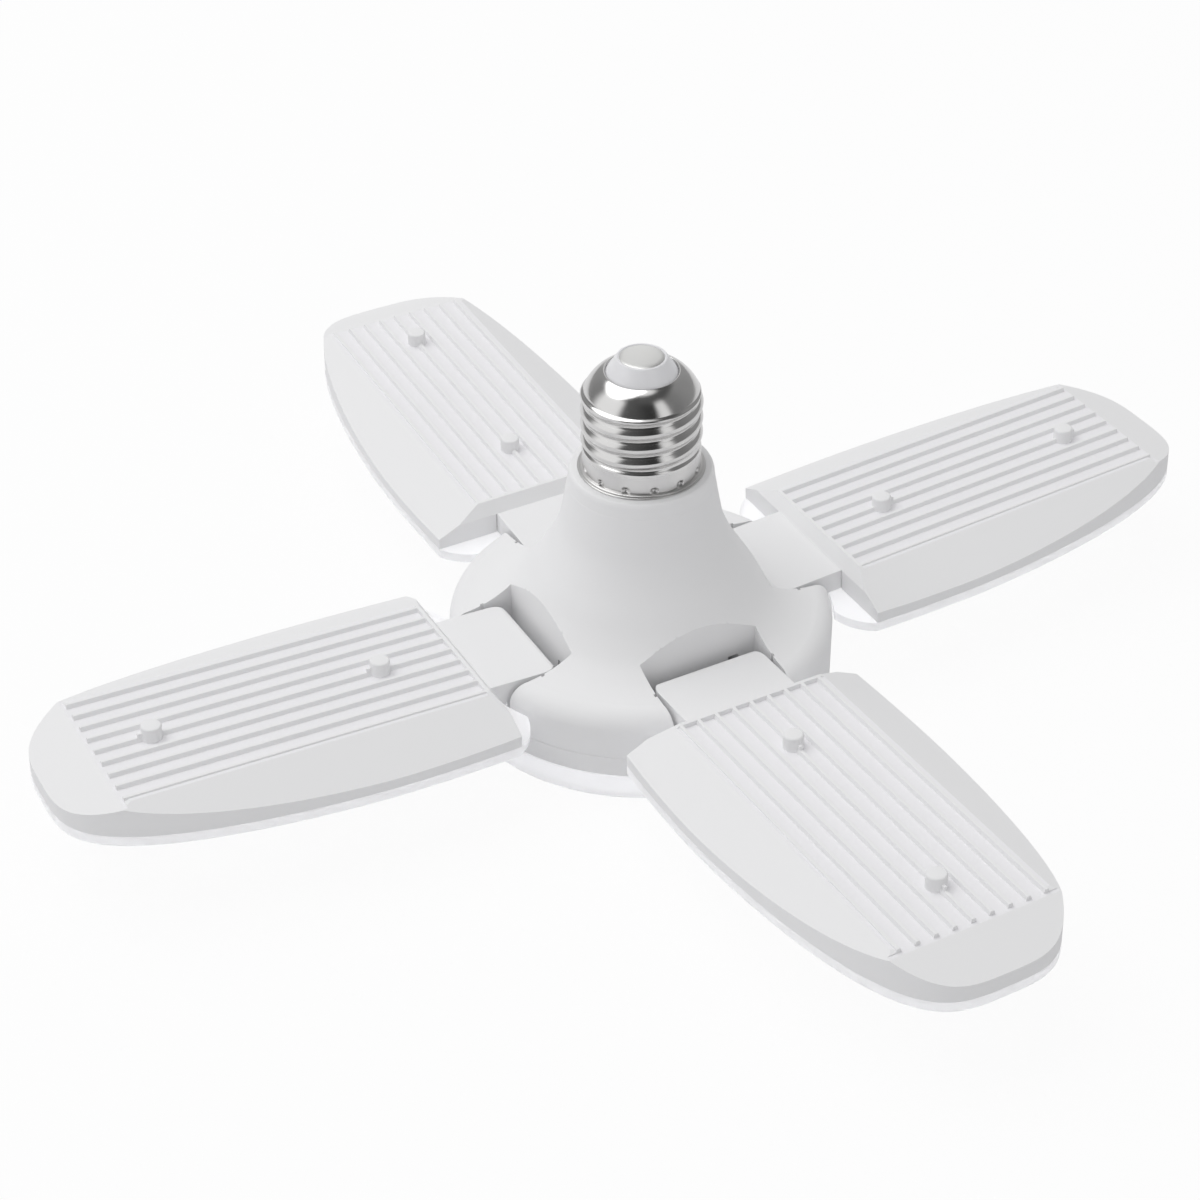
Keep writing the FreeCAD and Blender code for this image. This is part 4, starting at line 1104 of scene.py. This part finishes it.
def housing_pattern(chosen):
    """Ribless housing: rim, slopes, sunk field, side strips, hollow and arm window."""
    field_half = 0.5 * ((chosen.rib_count - 1) * in_mm(chosen.rib_pitch) + in_mm(chosen.rib_width))
    housing = roof_form("housing")
    over = ridge_top + 5 * margin
    lap = 0.01 * margin
    carve(housing, [
        box(lip_end, rib_end, -field_half, field_half, floor_top, over),
        box(rib_end - lap, past_tip, -past_side, past_side, floor_top, over),
        box(lip_end, past_tip, field_half - lap, past_side, strip_top, over),
        box(lip_end, past_tip, -past_side, -field_half + lap, strip_top, over),
    ])
    soften(housing, in_mm(chosen.housing_edge), 2, 14.0)
    carve(housing, [roof_form("hollow", blade_wall)])
    window = arm_half + window_gap
    carve(housing, [box(0.0, arm_tongue_reach + margin, -window, window,
                        rim_bottom - 2 * margin, arm_top)])
    smooth(housing, 50.0)
    paint(housing, bpy.data.materials["housing_white"], bpy.data.materials["housing_textured"])
    # the sunk field and side strips take the textured material, whose lifted colour is painted light
    for face in housing.data.polygons:
        upward = face.normal.z > 0.995 and face.center.x > lip_end
        sunk = min(abs(face.center.z - floor_top), abs(face.center.z - strip_top)) < 0.05
        face.material_index = int(upward and sunk)
    return housing


def rib_pattern(chosen):
    """The ribs, and the two pegs that stand on the middle one."""
    white = bpy.data.materials["housing_white"]
    width = in_mm(chosen.rib_width)
    ribs = grow("ribs", rib_field_tree(), {
        "Count": chosen.rib_count, "Pitch": in_mm(chosen.rib_pitch),
        "Top Width": rib_top_share * width, "Foot Width": rib_foot_share * width,
        "Height": ridge_top - floor_top + rib_root, "Edge": in_mm(chosen.rib_edge),
        "Start": lip_end - rib_in_lip, "End": rib_end, "Top": ridge_top - rib_sink,
        "Material": white})
    radius = in_mm(chosen.peg_radius)
    top = ridge_top + in_mm(chosen.peg_height)
    foot = floor_top - peg_root
    line = [(0.0, top)] + [(radius - inward, top - down) for inward, down in peg_bevel]
    line += [(radius + peg_draft, foot), (0.0, foot)]
    pieces = [ribs]
    for reach in peg_reaches:
        peg = lathe("peg", line, 40)
        peg.data.transform(Matrix.Translation((reach, 0.0, 0.0)))
        side = reach + radius
        web = box(side - web_root, side + web_reach, -web_half, web_half,
                  floor_top, ridge_top + web_height)
        soften(web, web_edge)
        pieces += [peg, web]
    field = joined("ribs", pieces, 1e-5)
    smooth(field, 35.0)
    paint(field, white)
    return field


def tray_pattern(chosen):
    """Milky cover: plate with a rounded lower edge, its root hollowed to the hub's round."""
    rim_clear = hub_radius + tray_gap
    horn = (math.sqrt(rim_clear ** 2 - tray_horn_half ** 2) - hinge_reach, tray_horn_half)
    side = blade_side()
    front = arc_points(side[-1], tray_horn_front, horn, 10)
    hollow = arc_points(horn, (rim_clear - hinge_reach, 0.0), (horn[0], -horn[1]), 24)
    half = side + front[1:]
    outline = half + hollow[1:-1] + [(x, -y) for x, y in reversed(half[1:])]
    tray = prism("tray", outline, tray_bottom, rim_bottom)
    shape = bmesh.new()
    shape.from_mesh(tray.data)
    lower = [e for e in shape.edges if all(abs(v.co.z - tray_bottom) < 1e-4 for v in e.verts)]
    upper = [e for e in shape.edges if all(abs(v.co.z - rim_bottom) < 1e-4 for v in e.verts)]
    for edges, width, segments in ((lower, in_mm(chosen.tray_edge), 5), (upper, tray_top_edge, 2)):
        bmesh.ops.bevel(shape, geom=[e for e in edges if e.is_valid], offset=width,
                        segments=segments, profile=0.5, affect="EDGES", clamp_overlap=True)
    bmesh.ops.recalc_face_normals(shape, faces=shape.faces)
    shape.to_mesh(tray.data)
    shape.free()
    inset = blade_wall + tray_seat + tray_wall
    carve(tray, [prism("inside", blade_outline(inset), tray_bottom + tray_wall, rim_bottom + margin)])
    smooth(tray, 40.0)
    # the cover material carries a weak painted glow
    paint(tray, bpy.data.materials["milky_cover"])
    return tray


# ---- operators -----------------------------------------------------------------------------------

class LIGHT_OT_finishes(bpy.types.Operator):
    """Make the materials and put them on the packed pieces that stay"""
    bl_idname = "garage_light.finishes"
    bl_label = "Finishes"

    def execute(self, context):
        make_finishes(context)
        kept = {
            "hub_led_board": "board_white", "hub_leds": "led_phosphor", "hub_screws": "screw_steel",
            "driver_board": "board_green", "driver_transformer": "winding_tape",
            "bulk_capacitor": "can_sleeve", "output_capacitor": "can_sleeve",
            "bridge_rectifier": "chip_black", "driver_chip": "chip_black",
            "fusible_resistor": "resistor_body", "contact_wire": "wire_white",
            "shell_wire": "wire_white",
        }
        for side in sides:
            kept.update({f"{side}_hinge_pin": "pin_steel", f"{side}_led_board": "board_white",
                         f"{side}_leds": "led_phosphor", f"{side}_screws": "screw_steel"})
        for node, name in kept.items():
            piece = frame["nodes"][node]
            if not piece.material_slots:
                piece.data.materials.append(None)
            for slot in piece.material_slots:
                slot.material = bpy.data.materials[name]
        return {"FINISHED"}


class LIGHT_OT_screw_base(bpy.types.Operator):
    """Build the screw shell, the insulating ring and the soldered contact"""
    bl_idname = "garage_light.screw_base"
    bl_label = "Screw base"

    def execute(self, context):
        screw_shell(context.scene.light_base)
        ring = lathe("insulator_ring", insulator_line, 128)
        smooth(ring, 30.0)
        paint(ring, bpy.data.materials["insulator_white"])
        settle(ring, "hub", "insulator", "base_insulator")
        contact = lathe("contact_button", contact_line, 96)
        smooth(contact, 40.0)
        paint(contact, bpy.data.materials["solder"])
        settle(contact, "hub", "solder", "centre_contact")
        return {"FINISHED"}


class LIGHT_OT_hub(bpy.types.Operator):
    """Build the bell, the lower plate and the hub's milky cover"""
    bl_idname = "garage_light.hub"
    bl_label = "Hub"

    def execute(self, context):
        chosen = context.scene.light_hub
        hub_bell(chosen)
        hub_plate(chosen)
        hub_cover(chosen)
        return {"FINISHED"}


class LIGHT_OT_arms(bpy.types.Operator):
    """Build the four hinge arms"""
    bl_idname = "garage_light.arms"
    bl_label = "Hinge arms"

    def execute(self, context):
        share_out(arm_pattern(context.scene.light_hub), "arm_skin", "housing_white", ["arm"])
        return {"FINISHED"}


class LIGHT_OT_housings(bpy.types.Operator):
    """Build the four blade housings with their ribs and pegs"""
    bl_idname = "garage_light.housings"
    bl_label = "Blade housings"

    def execute(self, context):
        chosen = context.scene.light_blades
        share_out(housing_pattern(chosen), "housing_skin", "housing_white", ["housing"])
        share_out(rib_pattern(chosen), "ribs", "housing_white", [])
        return {"FINISHED"}


class LIGHT_OT_covers(bpy.types.Operator):
    """Build the four milky covers under the blades"""
    bl_idname = "garage_light.covers"
    bl_label = "Blade covers"

    def execute(self, context):
        share_out(tray_pattern(context.scene.light_blades), "cover", "diffuser", ["diffuser"])
        return {"FINISHED"}


def add_lamp(name, place, aim, size, power):
    """A round soft lamp that faces the aim point; lengths in metres."""
    lamp = bpy.data.lights.new(name, "AREA")
    lamp.shape = "DISK"
    lamp.size = size
    lamp.energy = power
    holder = bpy.data.objects.new(name, lamp)
    bpy.context.scene.collection.objects.link(holder)
    holder.location = place
    holder.rotation_euler = (Vector(aim) - Vector(place)).to_track_quat("-Z", "Y").to_euler()


def background_share(tree):
    """Two masks: rays from the camera and through glass, and rays from mirrors."""
    path = tree.nodes.new("ShaderNodeLightPath")
    straight = maths(tree, "MAXIMUM", path.outputs["Is Camera Ray"],
                     path.outputs["Is Transmission Ray"])
    return straight, path.outputs["Is Glossy Ray"]


def mixed(tree, share, first, second):
    """The first shader where the share is 0, and the second where it is 1."""
    node = tree.nodes.new("ShaderNodeMixShader")
    for socket, source in zip(node.inputs, (share, first, second)):
        tree.links.new(source, socket)
    return node.outputs[0]


def studio_walls(tree, right, ahead):
    """What the plating mirrors: pale and dark stretches of wall, and a dark and a pale ceiling."""
    facing = tree.nodes.new("ShaderNodeTexCoord").outputs["Generated"]

    def along(direction):
        node = tree.nodes.new("ShaderNodeVectorMath")
        node.operation = "DOT_PRODUCT"
        tree.links.new(facing, node.inputs[0])
        node.inputs[1].default_value = direction
        return node.outputs["Value"]

    toward = Vector((-ahead.x, -ahead.y, 0.0)).normalized()
    sideways = Vector((right.x, right.y, 0.0)).normalized()
    bearing = maths(tree, "ARCTAN2", along(sideways), along(toward))
    walls = tree.nodes.new("ShaderNodeValToRGB")
    tree.links.new(maths(tree, "MULTIPLY_ADD", bearing, 0.5 / math.pi, 0.5), walls.inputs[0])
    # share of a turn, from behind the light round by its left, and how bright the wall is there
    stops = ((0.0, 1.0), (0.07, 0.35), (0.19, 0.25), (0.25, 1.0), (0.355, 1.0), (0.4, 0.1),
             (0.575, 0.03), (0.605, 0.9), (0.64, 0.9), (0.67, 0.2), (0.83, 0.3), (0.93, 0.35),
             (1.0, 1.0))
    ramp = walls.color_ramp
    ramp.interpolation = "EASE"
    for place, level in stops[1:-1]:
        ramp.elements.new(place)
    for element, (place, level) in zip(ramp.elements, stops):
        element.position = place
        element.color = (level, level, level, 1.0)
    colour = walls.outputs[0]
    rise = along((0.0, 0.0, 1.0))
    # between which sines of the angle over level the room turns dark, and then pale overhead
    for start, end, level in ((0.69, 0.85, 0.09), (0.93, 0.985, 0.95)):
        share = tree.nodes.new("ShaderNodeMapRange")
        share.interpolation_type = "SMOOTHSTEP"
        share.inputs["From Min"].default_value = start
        share.inputs["From Max"].default_value = end
        tree.links.new(rise, share.inputs["Value"])
        higher = tree.nodes.new("ShaderNodeMix")
        higher.data_type = "RGBA"
        tree.links.new(share.outputs["Result"], higher.inputs[0])
        tree.links.new(colour, higher.inputs[6])
        higher.inputs[7].default_value = (level, level, level, 1.0)
        colour = higher.outputs[2]
    return colour


def place_camera(scene, chosen):
    """Put the camera where the photograph was taken; give its right and its line of sight."""
    level = Vector((0.0, math.cos(chosen.tilt), -math.sin(chosen.tilt)))
    across = Vector((1.0, 0.0, 0.0))
    upright = across.cross(level)
    right = across * math.cos(chosen.roll) + upright * math.sin(chosen.roll)
    up = upright * math.cos(chosen.roll) - across * math.sin(chosen.roll)
    back_turn = Matrix.Rotation(-chosen.turn, 3, "Z")
    right, up, ahead = back_turn @ right, back_turn @ up, back_turn @ level
    seen_from = Vector((0.0, 0.0, chosen.aim_height))
    seen_from -= right * chosen.aim_right + up * chosen.aim_up + ahead * chosen.distance
    camera = bpy.data.objects.new("camera", bpy.data.cameras.new("camera"))
    scene.collection.objects.link(camera)
    camera.data.sensor_width = 36.0
    camera.data.lens = chosen.lens
    camera.data.clip_start = 0.01
    camera.matrix_world = Matrix((
        (right.x, up.x, -ahead.x, seen_from.x),
        (right.y, up.y, -ahead.y, seen_from.y),
        (right.z, up.z, -ahead.z, seen_from.z),
        (0.0, 0.0, 0.0, 1.0)))
    scene.camera = camera
    return right, ahead


def light_room(scene, chosen, right, ahead):
    """One large lamp high up on the left, in a room that plastic sees plain and metal striped."""
    high_left = -right * 0.55 + ahead * 0.2 + Vector((0.0, 0.0, 1.35))
    add_lamp("key_lamp", high_left, (0.0, 0.0, -0.06), 1.5, chosen.key_level)
    world = bpy.data.worlds.new("room")
    scene.world = world
    world.use_nodes = True
    tree = world.node_tree
    tree.nodes.clear()
    straight, mirrored = background_share(tree)
    light, mirror, plain = [tree.nodes.new("ShaderNodeBackground") for _ in range(3)]
    light.inputs["Color"].default_value = plain.inputs["Color"].default_value = (1.0, 1.0, 1.0, 1.0)
    light.inputs["Strength"].default_value = chosen.room_level
    tree.links.new(studio_walls(tree, right, ahead), mirror.inputs["Color"])
    room = mixed(tree, mirrored, light.outputs[0], mirror.outputs[0])
    out = tree.nodes.new("ShaderNodeOutputWorld")
    tree.links.new(mixed(tree, straight, room, plain.outputs[0]), out.inputs["Surface"])


def lay_floor(chosen):
    """A wide pale floor: white to the camera but for the light's shadow, clear from beneath."""
    spread = 6000.0
    below = 0.05
    corners = ((-spread, -spread), (spread, -spread), (spread, spread), (-spread, spread))
    mesh = bpy.data.meshes.new("floor")
    mesh.from_pydata([(x, y, cover_z - below) for x, y in corners], [], [(0, 1, 2, 3)])
    floor = add_object("floor", mesh)
    to_metres(floor)
    pale = bpy.data.materials.new("pale_floor")
    pale.use_nodes = True
    tree = pale.node_tree
    shader = tree.nodes["Principled BSDF"]
    shader.inputs["Base Color"].default_value = (0.88, 0.88, 0.89, 1.0)
    shader.inputs["Roughness"].default_value = 0.8
    white = tree.nodes.new("ShaderNodeEmission")
    straight, mirrored = background_share(tree)
    share = maths(tree, "MAXIMUM", straight, maths(tree, "MULTIPLY", mirrored, 0.35))
    share = maths(tree, "MULTIPLY", share, chosen.floor_lift)
    lit = mixed(tree, share, shader.outputs[0], white.outputs[0])
    clear = tree.nodes.new("ShaderNodeBsdfTransparent")
    beneath = tree.nodes.new("ShaderNodeNewGeometry").outputs["Backfacing"]
    tree.links.new(mixed(tree, beneath, lit, clear.outputs[0]),
                   tree.nodes["Material Output"].inputs["Surface"])
    paint(floor, pale)


class LIGHT_OT_stage(bpy.types.Operator):
    """Set up the camera, the lamp, the room light and the pale floor"""
    bl_idname = "garage_light.stage"
    bl_label = "Stage"

    def execute(self, context):
        scene = context.scene
        chosen = scene.light_view
        scene.view_settings.view_transform = "Standard"
        right, ahead = place_camera(scene, chosen)
        light_room(scene, chosen, right, ahead)
        lay_floor(chosen)
        return {"FINISHED"}


class LIGHT_PT_panel(bpy.types.Panel):
    """Buttons and settings of the garage light"""
    bl_idname = "LIGHT_PT_panel"
    bl_label = "Garage light"
    bl_space_type = "VIEW_3D"
    bl_region_type = "UI"
    bl_category = "Garage light"

    def draw(self, context):
        for operator in operators:
            self.layout.operator(operator.bl_idname)
        for name, group in settings:
            column = self.layout.column(align=True)
            column.label(text=group.__doc__)
            for label in group.__annotations__:
                column.prop(getattr(context.scene, name), label)


operators = (LIGHT_OT_finishes, LIGHT_OT_screw_base, LIGHT_OT_hub, LIGHT_OT_arms,
             LIGHT_OT_housings, LIGHT_OT_covers, LIGHT_OT_stage)


def register():
    """Make the settings, the operators and the panel known."""
    for name, group in settings:
        bpy.utils.register_class(group)
        setattr(bpy.types.Scene, name, PointerProperty(type=group))
    for operator in operators:
        bpy.utils.register_class(operator)
    bpy.utils.register_class(LIGHT_PT_panel)


def unregister():
    """Undo what register did, last first."""
    bpy.utils.unregister_class(LIGHT_PT_panel)
    for operator in reversed(operators):
        bpy.utils.unregister_class(operator)
    for name, group in reversed(settings):
        delattr(bpy.types.Scene, name)
        bpy.utils.unregister_class(group)


def main():
    """Build the light and its stage."""
    register()
    bpy.ops.garage_light.finishes()
    bpy.ops.garage_light.screw_base()
    bpy.ops.garage_light.hub()
    bpy.ops.garage_light.arms()
    bpy.ops.garage_light.housings()
    bpy.ops.garage_light.covers()
    bpy.ops.garage_light.stage()


if __name__ == "__main__":
    main()
